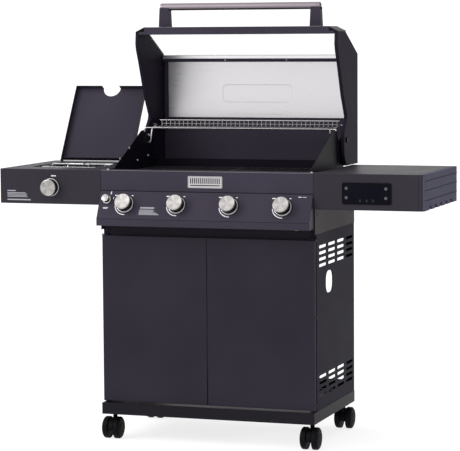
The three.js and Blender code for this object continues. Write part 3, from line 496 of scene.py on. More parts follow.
def copies(bm, verts, offsets):
    """Further copies of a finished shape, each moved by an offset."""
    faces = list({face for vert in verts for face in vert.link_faces})
    for offset in offsets:
        made = bmesh.ops.duplicate(bm, geom=faces)["geom"]
        moved = [part for part in made if isinstance(part, bmesh.types.BMVert)]
        bmesh.ops.translate(bm, vec=Vector(offset), verts=moved)


def slab(bm, outline, thickness, place, bevel=0.0):
    """A flat outline of (x, y) raised along the place's Z, its upper rim rounded if asked."""
    verts = [bm.verts.new((x, y, 0)) for x, y in outline]
    face = bm.faces.new(verts)
    made = bmesh.ops.extrude_face_region(bm, geom=[face])["geom"]
    top = [part for part in made if isinstance(part, bmesh.types.BMVert)]
    bmesh.ops.translate(bm, vec=(0, 0, thickness), verts=top)
    every = whole(verts)
    turn_outwards(bm, every)
    if bevel:
        chosen = set(top)
        rim = {edge for vert in top for edge in vert.link_edges if set(edge.verts) <= chosen}
        soften(bm, list(rim), bevel, 2)
        every = whole([vert for vert in every if vert.is_valid][:1])
    bmesh.ops.transform(bm, matrix=place, verts=every)


def round_rect(low, high, radius, steps=5):
    """Outline of a rectangle with round corners."""
    (x0, y0), (x1, y1) = low, high
    corners = ((x1, y0, -90), (x1, y1, 0), (x0, y1, 90), (x0, y0, 180))
    points = []
    for x, y, start in corners:
        centre = (x + (radius if x == x0 else -radius), y + (radius if y == y0 else -radius))
        points += arc(centre, radius, start, start + 90, steps)
    return points


SUNK = -0.0002


def screw_head(bm, foot, direction, radius, height=0.0022):
    """A domed head with a round recess, sunk a little into its wall."""
    dome = [(0, SUNK), (radius, SUNK)]
    for angle in (0, 25, 50, 72):
        turn = math.radians(angle)
        dome.append((radius * math.cos(turn), height * math.sin(turn)))
    recess = [(radius * 0.32, height * 0.94), (radius * 0.2, height * 0.55), (0, height * 0.55)]
    lathe(bm, dome + recess, facing(foot, direction), 18)


def hex_head(bm, foot, direction, radius, height):
    """A flanged hexagon bolt head."""
    place = facing(foot, direction)
    wide = radius * 1.3
    step = height * 0.35
    flange = [(0, SUNK), (wide, SUNK), (wide, height * 0.25), (radius, step), (0, step)]
    lathe(bm, flange, place, 24)
    hexagon = arc((0, 0), radius * 0.95, 0, 300, 5)
    slab(bm, hexagon, height * 0.7, place @ Matrix.Translation((0, 0, height * 0.3)), height * 0.15)


# ---- light, floor and camera

def soft_light(name, place, target, size, power, colour):
    """A rectangular lamp that looks at a target."""
    lamp = bpy.data.lights.new(name, "AREA")
    lamp.shape = "RECTANGLE"
    lamp.size, lamp.size_y = size
    lamp.energy = power
    lamp.color = colour
    stand = bpy.data.objects.new(name, lamp)
    stand.location = place
    stand.rotation_euler = (Vector(target) - Vector(place)).to_track_quat("-Z", "Y").to_euler()
    bpy.context.collection.objects.link(stand)


def studio():
    """A white dome, brighter at the front left and softer at the right, and a pale floor."""
    world = bpy.data.worlds.new("studio")
    world.use_nodes = True
    tree = world.node_tree
    background = tree.nodes["Background"]
    background.inputs["Color"].default_value = (1, 1, 1, 1)
    outward = tree.nodes.new("ShaderNodeTexCoord").outputs["Generated"]

    def towards(direction, near, far):
        """A strength that goes from near to far as the dome turns towards a direction."""
        dot = tree.nodes.new("ShaderNodeVectorMath")
        dot.operation = "DOT_PRODUCT"
        dot.inputs[1].default_value = Vector(direction).normalized()
        spread = tree.nodes.new("ShaderNodeMapRange")
        tree.links.new(outward, dot.inputs[0])
        tree.links.new(dot.outputs["Value"], spread.inputs["Value"])
        spread.inputs["To Min"].default_value = near
        spread.inputs["To Max"].default_value = far
        return spread.outputs["Result"]

    total = tree.nodes.new("ShaderNodeMath")
    total.operation = "ADD"
    tree.links.new(towards((-0.50, -0.80, 0.35), 1.12, 1.9), total.inputs[0])
    tree.links.new(towards((0.97, 0.1, 0.2), 0.0, -0.6), total.inputs[1])
    tree.links.new(total.outputs["Value"], background.inputs["Strength"])
    bpy.context.scene.world = world
    middle = (cad_low + cad_high) / 2
    soft_light("key", (-3.4, -3.2, 3.0), middle, (2.2, 2.2), 90, (1.0, 0.98, 0.98))

    bm = bmesh.new()
    bmesh.ops.create_grid(bm, x_segments=1, y_segments=1, size=60)
    mesh = bpy.data.meshes.new("floor")
    bm.to_mesh(mesh)
    bm.free()
    floor = bpy.data.objects.new("floor", mesh)
    bpy.context.collection.objects.link(floor)
    paper = Finish("pale_floor", Roughness=0.9, Specular_IOR_Level=0.0)
    paper.set("Base Color", paper.mix(paper.noise(3.0, 2.0), (0.30, 0.30, 0.30), (0.32, 0.32, 0.32)))
    paper.set("Emission Color", (1, 1, 1))
    paper.set("Emission Strength", 0.78)
    floor.data.materials.append(paper.material)


def camera():
    """A long lens at the front right, about as high as the open hood."""
    stand = (2.22103, -6.47022, 1.27709)
    yaw, pitch, roll = math.radians(18.96), math.radians(5.15), math.radians(-0.38)
    ahead = Vector((-math.sin(yaw) * math.cos(pitch), math.cos(yaw) * math.cos(pitch), -math.sin(pitch)))
    level = Vector((math.cos(yaw), math.sin(yaw), 0))
    upright = level.cross(ahead)
    right = level * math.cos(roll) + upright * math.sin(roll)
    up = upright * math.cos(roll) - level * math.sin(roll)
    lens = bpy.data.cameras.new("camera")
    lens.sensor_width = 36
    lens.lens = 170.18
    lens.clip_end = 200
    eye = bpy.data.objects.new("camera", lens)
    turn = Matrix((right, up, -ahead)).transposed().to_4x4()
    eye.matrix_world = Matrix.Translation(stand) @ turn
    bpy.context.collection.objects.link(eye)
    bpy.context.scene.camera = eye


# ---- cart

GAP_SHADE_FOOT = 0.126
GAP_SHADE_HEAD = 0.638


def cart():
    """Tray, frame, rails and side walls, and the two doors with a dark strip of painted shade in the gap at
    each one's inner edge.
    """
    refined("base_tray", 0.0008, finish=tray_paint, least=50)
    refined("rear_frame", 0.0006, least=50)
    refined("front_rail", 0.0006, finish=rail_shaded_paint)
    refined("grease_tray", 0.0004)
    for name, side in SIDES:
        refined(f"side_panel_{name}", 0.0006, finish=side_shaded_paint, least=50)
        refined(f"door_{name}", 0.0012, finish=door_shaded_paint, least=50)
        # a black strip at each door's inner edge: painted shade in the gap between the doors
        low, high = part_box(f"door_{name}")
        edge = side * min(abs(low.x), abs(high.x))
        first, last = sorted((edge, edge - side * 0.0008))
        bm = bmesh.new()
        box(bm, (first, low.y + 0.0012, GAP_SHADE_FOOT), (last, high.y - 0.0002, GAP_SHADE_HEAD), 0.0002)
        piece(f"door_{name}_gap_painted_shade", bm, "black_steel", f"door_{name}", (), knob_black)
    bm = bmesh.new()
    for name, side in SIDES:
        low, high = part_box(f"side_panel_{name}")
        face = high.x if side > 0 else low.x
        out = X * side
        for y in (low.y + 0.012, high.y - 0.012):
            for z in (low.z + 0.02, (low.z + high.z) / 2 - 0.02, high.z - 0.095):
                screw_head(bm, (face, y, z), out, 0.0038)
        low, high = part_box("base_tray")
        screw_head(bm, (side * 0.2, high.y, low.z + 0.02), Y, 0.0038)
    piece("cart_screws", bm, "black_steel", "cart", finish=fastener_black)


BRACKET_FOOT = 0.660
KEYHOLES = ((-0.206, 0.718), (-0.004, 0.723), (0.166, 0.701))


def shelf_brackets():
    """Plates that carry the shelves, with black keyhole shapes as painted shade in their holes."""
    plates = bmesh.new()
    holes = bmesh.new()
    for name, side in SIDES:
        low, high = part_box(f"side_panel_{name}")
        face = side * max(abs(low.x), abs(high.x))
        outer = face + side * 0.0009
        first, last = sorted((face, outer))
        lower = (first, low.y + 0.0005, BRACKET_FOOT)
        box(plates, lower, (last, high.y - 0.0005, high.z - 0.0005), 0.0003)
        # black disc and slot on the plate: painted shade where each keyhole opens
        for y, z in KEYHOLES:
            spot = facing((outer, y, z), X * side)
            lathe(holes, [(0, 0), (0.0052, 0), (0.0052, 0.0003), (0, 0.0003)], spot, 24)
            box(holes, (-0.0021, 0.0040, 0), (0.0021, 0.0125, 0.0003), place=spot)
    piece("shelf_bracket_plates", plates, "warm_paint", "cart", (), bracket_paint)
    piece("shelf_bracket_keyhole_painted_shade", holes, "black_steel", "cart", (), display_black)


def caster(name):
    """Twin-wheel caster: hooded body with a stem plate, two dished discs with hub caps."""
    swivel, wheels = f"caster_{name}_swivel", f"caster_{name}_wheels"
    low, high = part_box(wheels)
    centre = (low + high) / 2
    radius = (high.z - low.z) / 2
    half = (high.x - low.x) / 2
    inner = 0.0095
    place = facing(centre, X)
    hub = 0.011
    side = [
        (0.0045, inner), (radius * 0.62, inner), (radius * 0.66, inner + 0.0015),
        (radius * 0.9, inner + 0.0015), (radius * 0.93, inner), (radius - 0.0006, inner),
        (radius, inner + 0.0008), (radius, half - 0.0068),
        (radius - 0.0012, half - 0.0045), (radius - 0.004, half - 0.0022), (radius - 0.0062, half - 0.0012),
        (radius - 0.0072, half - 0.0022), (radius - 0.0082, half - 0.0016), (hub + 0.006, half - 0.0004),
        (hub + 0.004, half - 0.0016), (hub + 0.0028, half - 0.0016), (hub + 0.0016, half - 0.0002),
        (hub * 0.6, half), (0, half),
    ]
    bm = bmesh.new()
    lathe(bm, side, place, 48)
    lathe(bm, [(r, -h) for r, h in side], place, 48)
    lathe(bm, [(0.0045, -inner), (0.0045, inner)], place, 24)
    bmesh.ops.remove_doubles(bm, verts=bm.verts, dist=SAME_SPOT)
    piece(f"{wheels}_dished", bm, "black_plastic", body_of[wheels], (wheels,), crease=28)

    bm = merged(swivel)
    round_edges(bm, 0.0008, 2, 30)
    piece(f"{swivel}_hooded", bm, "black_plastic", body_of[swivel], (swivel,))


# ---- control panel

# the flat strip at the top, the depth and height of the slope under it, and shares of its length
PANEL_STRIP = 0.063
PANEL_RUN = 0.042
PANEL_DROP = 0.085
KNOB_SHARE = 0.482
IGNITER_SHARE = 0.33

panel_low, panel_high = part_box("control_panel")
strip_front = panel_low.y + PANEL_RUN
slope_top = Vector((0, strip_front, panel_high.z - PANEL_STRIP))
slope = Vector((0, -PANEL_RUN, -PANEL_DROP))
panel_out = slope.normalized().cross(X).normalized()
panel_out = panel_out if panel_out.z > 0 else -panel_out
panel_tilt = math.atan2(PANEL_RUN, PANEL_DROP)


def on_panel(x, share):
    """A point of the slope, a share of the way down it."""
    return slope_top + slope * share + X * x


def knob_x(index):
    """X of a knob's middle."""
    low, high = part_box(f"knob_{index}")
    return (low.x + high.x) / 2


def knob(name, foot, out, tilt, body):
    """Black waisted skirt under a turned steel cap with a pointer line."""
    place = facing(foot, out)
    bm = bmesh.new()
    skirt = [
        (0, -0.013), (0.004, -0.013), (0.004, 0.003), (0.0222, 0.003), (0.0232, 0.004), (0.0236, 0.012),
        (0.0236, 0.0215), (0.0246, 0.0235), (0.0246, 0.0238), (0, 0.0238),
    ]
    lathe(bm, skirt, place, 64)
    piece(f"{name}_skirt", bm, "black_plastic", body, (), knob_black)
    bm = bmesh.new()
    cap = [
        (0, 0.0247), (0.0252, 0.0247), (0.0257, 0.0252), (0.0258, 0.0260), (0.0258, 0.0278), (0.0252, 0.0288),
        (0.0234, 0.0299), (0.0228, 0.0300), (0.0222, 0.0297), (0.0060, 0.0296), (0, 0.0296),
    ]
    lathe(bm, cap, place, 64)
    centre = Vector(foot) + Vector(out) * 0.03
    finish = spun_steel_with_painted_sheen(f"{name}_turned_face_painted_sheen", tuple(centre), tilt)
    piece(f"{name}_cap", bm, "stainless", body, (name,), finish)
    bm = bmesh.new()
    box(bm, (-0.0007, 0.0120, 0.0296), (0.0007, 0.0225, 0.0299), place=place)
    piece(f"{name}_pointer", bm, "stainless", body, (), grey_ink)


def bezel(name, foot, out):
    """Rounded chrome ring round the foot of a knob."""
    place = facing(foot, out)
    bm = bmesh.new()
    ring = [
        (0.0243, 0.0003), (0.0291, 0.0003), (0.0295, 0.0008), (0.0294, 0.0026),
        (0.0288, 0.0046), (0.0278, 0.0062), (0.0266, 0.0069), (0.0256, 0.0070),
        (0.0248, 0.0064), (0.0244, 0.0050), (0.0243, 0.0003),
    ]
    lathe(bm, ring, place, 64)
    piece(f"{name}_ring", bm, "chrome", "cart", (name,), bezel_chrome)


def igniter():
    """Push button: a stem, a turned steel cap and a ring on the panel."""
    low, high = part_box("igniter_button")
    foot = on_panel((low.x + high.x) / 2, IGNITER_SHARE)
    place = facing(foot, panel_out)
    bm = bmesh.new()
    stem = [
        (0, -0.0155), (0.0072, -0.0155), (0.0072, 0.0088), (0.0108, 0.0092),
        (0.0112, 0.0120), (0, 0.0120),
    ]
    lathe(bm, stem, place, 40)
    piece("igniter_stem", bm, "black_plastic", "igniter", (), knob_black)
    bm = bmesh.new()
    face = [
        (0, 0.0121), (0.0119, 0.0121), (0.0124, 0.0127), (0.0125, 0.0165), (0.0118, 0.0180),
        (0.0105, 0.0186), (0, 0.0190),
    ]
    lathe(bm, face, place, 40)
    finish = spun_steel_with_painted_sheen("igniter_turned_face_painted_sheen", tuple(foot + panel_out * 0.019), panel_tilt)
    piece("igniter_cap", bm, "stainless", "igniter", ("igniter_button",), finish)
    bm = bmesh.new()
    ring = [
        (0.0094, 0.0002), (0.0133, 0.0002), (0.0135, 0.0010), (0.0128, 0.0030), (0.0113, 0.0036),
        (0.0098, 0.0028), (0.0094, 0.0002),
    ]
    lathe(bm, ring, place, 40)
    piece("igniter_ring", bm, "chrome", "cart")


PRINT_LIFT = 0.00005
PRINT_THICK = 0.00012


def control_panel():
    """The sloped panel with its printing, front plate, painted crease shade, painted top-edge highlight and
    screws.
    """
    refined("control_panel", 0.0012)
    face = facing(on_panel(0, 0), panel_out)
    panel_marks(face)
    panel_notice(face)
    front_plate()
    panel_trim(face)


def mark(bm, face, x, down, width, height):
    """A printed bar; down is the distance from the top of the slope."""
    low = (x - width / 2, -down - height / 2, PRINT_LIFT)
    high = (x + width / 2, -down + height / 2, PRINT_LIFT + PRINT_THICK)
    box(bm, low, high, place=face)


def panel_marks(face):
    """White printing: a sweep and two bars at each knob, and a spark sign by the igniter."""
    marks = bmesh.new()
    middle = KNOB_SHARE * slope.length
    for index in range(1, 5):
        x = knob_x(index)
        mark(marks, face, x - 0.0320, middle - 0.0295, 0.0120, 0.0034)
        mark(marks, face, x + 0.0195, middle - 0.0300, 0.0060, 0.0026)
        sweep = arc((0, 0), 0.0345, 188, 274, 18) + arc((0.0004, 0), 0.0322, 274, 188, 18)
        slab(marks, sweep, PRINT_THICK, face @ Matrix.Translation((x, -middle, PRINT_LIFT)))
    low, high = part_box("igniter_button")
    spot = (low.x + high.x) / 2
    level = IGNITER_SHARE * slope.length
    spark = [
        (0.0, 0.007), (0.003, 0.007), (0.0012, 0.0022), (0.0036, 0.0022), (-0.0016, -0.006),
        (0.0002, -0.0008), (-0.0020, -0.0008),
    ]
    place = face @ Matrix.Translation((spot + 0.0105, -level + 0.021, PRINT_LIFT))
    slab(marks, spark, PRINT_THICK, place)
    captions = (
        (spot + 0.0215, level - 0.006, 0.0018, 0.0075), (spot - 0.001, level + 0.0255, 0.017, 0.0018),
        (spot - 0.001, level + 0.0290, 0.013, 0.0016), (0.3035, 0.0105, 0.010, 0.0020),
        (0.3180, 0.0105, 0.012, 0.0012),
    )
    for x, down, width, height in captions:
        mark(marks, face, x, down, width, height)
    piece("panel_marks", marks, "graphite_paint", "cart", (), white_ink)


def panel_notice(face):
    """Grey printing at the left: a heading and six lines that start level."""
    left = -0.206
    lines = (
        (0.0625, 0.046), (0.0655, 0.050), (0.0685, 0.046), (0.0715, 0.056), (0.0745, 0.062),
        (0.0775, 0.066),
    )
    notes = bmesh.new()
    mark(notes, face, -0.181, 0.0555, 0.046, 0.0048)
    for down, width in lines:
        mark(notes, face, left + width / 2, down, width, 0.0019)
    piece("panel_notice", notes, "graphite_paint", "cart", (), grey_ink)


def front_plate():
    """A plain plate with fifteen short flutes over one long one."""
    plate_thick, flute_foot, flute_top = 0.0022, 0.0026, 0.0029
    front = facing((0, strip_front, 0.8135), -Y)
    plate = bmesh.new()
    slab(plate, round_rect((-0.056, -0.0185), (0.056, 0.0185), 0.003), plate_thick, front, 0.0006)
    piece("front_plate", plate, "stainless", "cart", (), badge_plate)
    field = bmesh.new()
    inset = round_rect((-0.0525, -0.015), (0.0525, 0.015), 0.002)
    slab(field, inset, 0.0005, front @ Matrix.Translation((0, 0, plate_thick)))
    piece("front_plate_field", field, "stainless", "cart", (), badge_field)
    flutes = bmesh.new()
    for step in range(-7, 8):
        x = step * 0.0066
        box(flutes, (x - 0.0016, -0.0045, flute_foot), (x + 0.0016, 0.0125, flute_top), place=front)
    box(flutes, (-0.0480, -0.0115, flute_foot), (0.0480, -0.0085, flute_top), place=front)
    piece("front_plate_flutes", flutes, "black_steel", "cart")


def panel_trim(face):
    """Painted shade along the slope's two creases, a painted highlight along the crest, and the two screws on
    top.
    """
    half = panel_high.x - 0.0004
    foot = slope.length
    # dark strips along both creases of the slope: painted shade
    crease_shade = bmesh.new()
    box(crease_shade, (-half, -0.0016, -0.0006), (half, 0.0008, 0.0006), 0.0003, place=face)
    box(crease_shade, (-half, 0.0002 - foot, -0.0006), (half, 0.0012 - foot, 0.0004), 0.0003, place=face)
    piece("panel_crease_painted_shade", crease_shade, "black_steel", "cart")
    # a light rod along the top edge: a painted highlight
    bm = bmesh.new()
    crest = Vector((half, strip_front + 0.0009, panel_high.z - 0.0009))
    wire(bm, [crest - X * half * 2, crest], 0.0009, 8)
    piece("panel_top_painted_highlight", bm, "graphite_paint", "cart", (), painted_highlight_edge)
    screws = bmesh.new()
    for side in (-1, 1):
        screw_head(screws, (side * 0.3305, strip_front + 0.030, panel_high.z), Z, 0.0045, 0.0026)
    piece("panel_top_screws", screws, "stainless", "cart", (), fastener_zinc)


def knobs():
    """Four burner knobs on the slope, the side burner's knob and the igniter."""
    for index in range(1, 5):
        foot = on_panel(knob_x(index), KNOB_SHARE)
        knob(f"knob_{index}", foot, panel_out, panel_tilt, f"knob_{index}")
        bezel(f"bezel_{index}", foot, panel_out)
    low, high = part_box("side_knob")
    foot = Vector(((low.x + high.x) / 2, strip_front, (low.z + high.z) / 2))
    knob("side_knob", foot, -Y, 0.0, "side_knob")
    bezel("side_bezel", foot, -Y)
    igniter()


# ---- firebox

WALL_INSIDE = 0.317
WALL_SCREWS = ((-0.140, 0.875), (-0.060, 0.905), (0.010, 0.862), (0.105, 0.872))


def firebox():
    """The box with its burners, flame tamers, grates, funnel, manifold and wall screws."""
    refined("firebox", 0.0007)
    refined("drip_funnel", 0.0004)
    refined("gas_manifold", 0.0006, least=50)
    for index in range(1, 5):
        burner(index)
        refined(f"flame_tamer_{index}", 0.0004, least=25)
    for name, _ in SIDES:
        refined(f"cooking_grate_{name}", 0.0016, segments=2)
    screws = bmesh.new()
    for y, z in WALL_SCREWS:
        screw_head(screws, (-WALL_INSIDE, y, z), X, 0.0045, 0.0028)
    for side in (-1, 1):
        hex_head(screws, (side * WALL_INSIDE, 0.11, 0.938), -X * side, 0.0045, 0.0035)
    piece("firebox_screws", screws, "stainless", "cart", (), fastener_zinc)


def burner(index):
    """Tube burner with two rows of ports drawn as black discs of painted shade, an air shutter at its mouth
    and a folded tail.
    """
    node = f"burner_{index}"
    low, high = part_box(node)
    x, z = (low.x + high.x) / 2, (low.z + high.z) / 2
    radius = (high.z - low.z) / 2
    bm = bmesh.new()
    place = Matrix.Translation((x, low.y, z)) @ Matrix.Rotation(-math.pi / 2, 4, "X")
    length = high.y - low.y
    waist, mouth = radius - 0.0008, radius - 0.002
    tube = [
        (mouth, 0), (radius, 0), (radius, 0.030), (waist, 0.031), (waist, 0.038), (radius, 0.039),
        (radius, length - 0.014), (mouth, length - 0.008), (radius * 0.75, length - 0.004),
        (0, length - 0.004), (0, length - 0.006), (radius - 0.0025, length - 0.010), (mouth, 0),
    ]
    lathe(bm, tube, place, 28)
    tail = (x - radius * 0.9, high.y - 0.006, z - 0.0015)
    box(bm, tail, (x + radius * 0.9, high.y, z + 0.0015), 0.0005)
    piece(f"{node}_tube", bm, slot_of[node], "cart", (node,))
    # black discs on the tube: painted shade in the port holes
    port_painted_shade = bmesh.new()
    count = 26
    pitch = (length - 0.10) / (count - 1)
    for side in (-1, 1):
        angle = math.radians(28) * side
        out = Vector((math.sin(angle), 0, math.cos(angle)))
        start = Vector((x, low.y + 0.06, z)) + out * (radius - 0.0001)
        ring = lathe(port_painted_shade, [(0, 0), (0.0016, 0), (0.0016, 0.00025), (0, 0.00025)], facing(start, out), 10)
        copies(port_painted_shade, ring, [Y * pitch * step for step in range(1, count)])
    piece(f"{node}_ports", port_painted_shade, slot_of[node], "cart", (), knob_black)


# ---- warming rack

# where the bail's foot stands in its box, and the rack's pin behind and above it
BAIL_FOOT = 0.0045
PIN_BACK = 0.063
PIN_RISE = 0.057


def warming_rack():
    """The rack of forty-one rods on its frame, and the bail that carries it."""
    low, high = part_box("warming_rack")
    bail_low, bail_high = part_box("rack_bail")
    radius = 0.0014
    rail = 0.0024
    deck = bail_high.z + 0.0018
    guard = high.z - rail
    rear = high.y - rail
    front = low.y + rail
    half = 0.3115
    reach = half - 0.014
    count = 41
    bm = bmesh.new()
    path = [(-reach, front, deck), (-reach, rear, deck), (-reach, rear, guard)]
    rod = wire(bm, path, radius, 7, 0.006, 4)
    pitch = 2 * reach / (count - 1)
    copies(bm, rod, [X * pitch * step for step in range(1, count)])
    tip = half - 0.001
    ends = [(-tip, front, deck - 0.013), (-tip, front, deck), (tip, front, deck), (tip, front, deck - 0.013)]
    wire(bm, ends, rail, 10, 0.006, 5)
    wire(bm, [(-half + 0.006, rear, guard), (half - 0.006, rear, guard)], rail, 10)
    wire(bm, [(-reach, rear + 0.0006, guard - 0.011), (reach, rear + 0.0006, guard - 0.011)], radius, 7)
    across = (front + rear) / 2 - 0.012
    wire(bm, [(-reach, across, deck - 0.0024), (reach, across, deck - 0.0024)], radius, 7)
    pin_y, pin_z = bail_low.y + BAIL_FOOT + PIN_BACK, bail_low.z + BAIL_FOOT + PIN_RISE
    drop = reach + 0.012
    for side in (-1, 1):
        loop = [
            (side * reach, pin_y - 0.034, deck), (side * drop, pin_y - 0.034, deck + 0.001),
            (side * drop, pin_y, pin_z), (side * (high.x - 0.0005), pin_y, pin_z),
        ]
        wire(bm, loop, rail * 0.9, 9, 0.005, 4)
    piece("warming_rack_wires", bm, "chrome", "rack", ("warming_rack",), rack_chrome)

    bm = bmesh.new()
    wall = bail_high.x - 0.0005
    leg = wall - 0.006
    foot_y, foot_z = bail_low.y + BAIL_FOOT, bail_low.z + BAIL_FOOT
    top_y, top_z = bail_high.y - rail, bail_high.z - rail
    path = [
        (-wall, foot_y, foot_z), (-leg, foot_y, foot_z), (-leg, top_y, top_z), (leg, top_y, top_z),
        (leg, foot_y, foot_z), (wall, foot_y, foot_z),
    ]
    wire(bm, path, rail, 10, 0.004, 5)
    for side in (-1, 1):
        foot = Vector((side * wall, foot_y, foot_z))
        clip = [(0, SUNK), (0.0044, SUNK), (0.0044, 0.0016), (0.0036, 0.0022), (0, 0.0022)]
        lathe(bm, clip, facing(foot, -X * side), 20)
    piece("rack_bail_wire", bm, "chrome", "bail", ("rack_bail",))


# ---- hood

def hood():
    """Caps, panels, glass, handle and liner of the hood, with its seals and fasteners."""
    for name, _ in SIDES:
        refined(f"hood_cap_{name}", 0.0022, finish=side_shaded_paint, least=60, segments=4)
        refined(f"handle_post_{name}", 0.0012)
    refined("hood_front_panel", 0.0008)
    refined("hood_top_panel", 0.0006)
    handle_bar()
    liner()
    refined("hood_window", 0.0006)
    window_rail()
    corner_beads()
    cap_gaskets()
    hood_screws()


def handle_bar():
    """The tube of the handle with a groove and a plug at each end."""
    low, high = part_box("handle_bar")
    centre = (low + high) / 2
    radius = (high.z - low.z) / 2
    half = (high.x - low.x) / 2
    place = facing((0, centre.y, centre.z), X)
    end = [(0, -half), (radius - 0.0035, -half), (radius - 0.0012, -half + 0.0008), (radius, -half + 0.003)]
    root = radius - 0.0006
    groove = [
        (radius, -half + 0.008), (root, -half + 0.0085), (root, -half + 0.0095),
        (radius, -half + 0.010),
    ]
    first = end + groove
    profile = first + [(r, -h) for r, h in reversed(first)]
    bm = bmesh.new()
    lathe(bm, profile, place, 64)
    piece("handle_bar_tube", bm, "dark_brushed", "hood", ("handle_bar",))
    caps = bmesh.new()
    for side in (-1, 1):
        disc = [(0, 0), (radius - 0.004, 0), (radius - 0.0045, 0.0003), (0, 0.0003)]
        lathe(caps, disc, facing((side * (half - 0.0001), centre.y, centre.z), X * side), 32)
    piece("handle_bar_ends", caps, "black_plastic", "hood", (), knob_black)


def liner():
    """Bright inner sheet with one pressed round-cornered frame over one long crease."""
    low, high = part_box("hood_liner")
    refined("hood_liner", 0.0004, finish=liner_steel)
    place = facing((0, low.y + 0.0001, (low.z + high.z) / 2), -Y)
    bm = bmesh.new()
    outline = round_rect((-0.118, -0.040), (0.118, 0.016), 0.012, 6)
    wire(bm, [place @ Vector((x, y, -0.0005)) for x, y in outline + outline[:1]], 0.0009, 8)
    crease = 0.012 - (high.z - low.z) / 2
    wire(bm, [place @ Vector((x, crease, -0.0004)) for x in (-0.104, 0.104)], 0.0008, 8)
    piece("liner_pressing", bm, "stainless", "hood", (), liner_steel)


RIVETS = (-0.105, 0.105)
CAP_SCREWS = ((0.115, 1.240), (0.085, 1.205), (0.262, 1.000), (0.262, 1.150))


def window_rail():
    """The bright strip along the foot of the window, on a dark rail with two rivets."""
    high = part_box("hood_top_panel")[1]
    front = high.y - 0.0226
    half = high.x - 0.004
    lower = (-half, front - 0.0016, high.z - 0.0115)
    bm = bmesh.new()
    box(bm, lower, (half, front + 0.0006, high.z - 0.0008), 0.0008, 3)
    piece("window_rail_strip", bm, "stainless", "hood")
    bm = bmesh.new()
    for x in RIVETS:
        screw_head(bm, (x, front, high.z - 0.0165), -Y, 0.0024, 0.0012)
    piece("window_rail_rivets", bm, "black_steel", "hood", (), fastener_zinc)


def corner_beads():
    """Beads of sealant that close the corners between the top panel and the caps."""
    low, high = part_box("hood_top_panel")
    radius = 0.0012
    bm = bmesh.new()
    for side in (-1, 1):
        x = side * (high.x - radius + 0.0002)
        foot = Vector((x, high.y - 0.0025 - radius, low.z + 0.003))
        wire(bm, [foot, foot + Z * (high.z - low.z - 0.006)], radius, 8)
    piece("hood_corner_beads", bm, "black_steel", "hood")


def cap_gaskets():
    """Strips that seal the front panel's ends on the caps."""
    low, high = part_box("hood_front_panel")
    bm = bmesh.new()
    for name, _ in SIDES:
        cap_low, cap_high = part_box(f"hood_cap_{name}")
        first = (cap_low.x + 0.0005, low.y + 0.0005, cap_high.z - 0.0006)
        box(bm, first, (cap_high.x - 0.0005, high.y - 0.0005, cap_high.z + 0.0012), 0.0003)
    piece("hood_cap_gaskets", bm, "black_steel", "hood")


def hood_screws():
    """Black screws on the front band and inside the two caps."""
    bm = bmesh.new()
    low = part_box("hood_front_panel")[0]
    for x in RIVETS:
        screw_head(bm, (x, low.y, low.z + 0.0095), -Y, 0.0024, 0.0011)
    for name, side in SIDES:
        cap_low, cap_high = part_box(f"hood_cap_{name}")
        inner = cap_low.x if side > 0 else cap_high.x
        for y, z in CAP_SCREWS:
            screw_head(bm, (inner, y, z), -X * side, 0.0032, 0.0018)
    piece("hood_screws", bm, "black_steel", "hood", (), fastener_black)


# ---- shelves

GROOVES = (0.018, 0.046, 0.076)


def shelves():
    """Both side shelves with their end strips, the display, and the printing under them."""
    for name, side in SIDES:
        refined(f"{name}_shelf", 0.0014)
        refined(f"{name}_shelf_end", 0.0007)
        shelf_end_details(name, side)
    display()
    face = facing((0, strip_front, 0), -Y)
    shelf_notice(face)
    low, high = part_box("side_knob")
    centre = (low.x + high.x) / 2
    dash = bmesh.new()
    line(dash, face, centre, centre + 0.016, high.z + 0.0095, 0.0034)
    piece("side_knob_mark", dash, "warm_paint", "cart", (), white_ink)


def shelf_end_details(name, side):
    """The painted corner of a shelf, painted shade in the three grooves of its end strip, and a painted
    highlight on its front corner.
    """
    low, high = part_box(f"{name}_shelf_end")
    outer = side * max(abs(low.x), abs(high.x))
    lower = (low.x + 0.0004, low.y - 0.0004, low.z + 0.0004)
    bm = bmesh.new()
    box(bm, lower, (high.x - 0.0012, low.y + 0.002, high.z), 0.0004)
    piece(f"{name}_shelf_corner", bm, "warm_paint", "cart")
    # black strips in the three grooves: painted shade in the recesses
    bm = bmesh.new()
    first, last = sorted((outer - side * 0.0016, outer - side * 0.0011))
    for level in GROOVES:
        top = high.z - level
        box(bm, (first, low.y + 0.001, top - 0.0029), (last, high.y - 0.001, top - 0.0001))
    piece(f"{name}_shelf_end_groove_painted_shade", bm, "black_plastic", "cart")
    # a light rod on the end strip's front corner: a painted highlight
    bm = bmesh.new()
    corner = Vector((outer - side * 0.0011, low.y + 0.0009, low.z + 0.003))
    wire(bm, [corner, Vector((corner.x, corner.y, high.z - 0.003))], 0.0010, 8)
    piece(f"{name}_shelf_end_painted_highlight", bm, "grey_plastic", "cart", (), end_painted_highlight)


def line(bm, face, x0, x1, level, tall):
    """A printed line on the front of a shelf."""
    low = (x0, level - tall / 2, PRINT_LIFT)
    box(bm, low, (x1, level + tall / 2, 0.00018), place=face)


def shelf_notice(face):
    """Grey printing at the left shelf's front: six lines that start level."""
    left = -0.6615
    lines = (
        (0.7770, -0.633, 0.0034), (0.7705, -0.599, 0.0022), (0.7665, -0.594, 0.0022),
        (0.7625, -0.596, 0.0022), (0.7585, -0.592, 0.0022), (0.7490, -0.582, 0.0040),
    )
    labels = bmesh.new()
    for level, right, tall in lines:
        line(labels, face, left, right, level, tall)
    piece("shelf_notice", labels, "warm_paint", "cart", (), grey_ink)


KEY_COLUMNS, KEY_ROWS = (-0.0625, 0.0595), (0.0155, -0.0125)
TOUCH_COLUMNS, TOUCH_LEVEL = (-0.020, 0.0, 0.020), -0.020


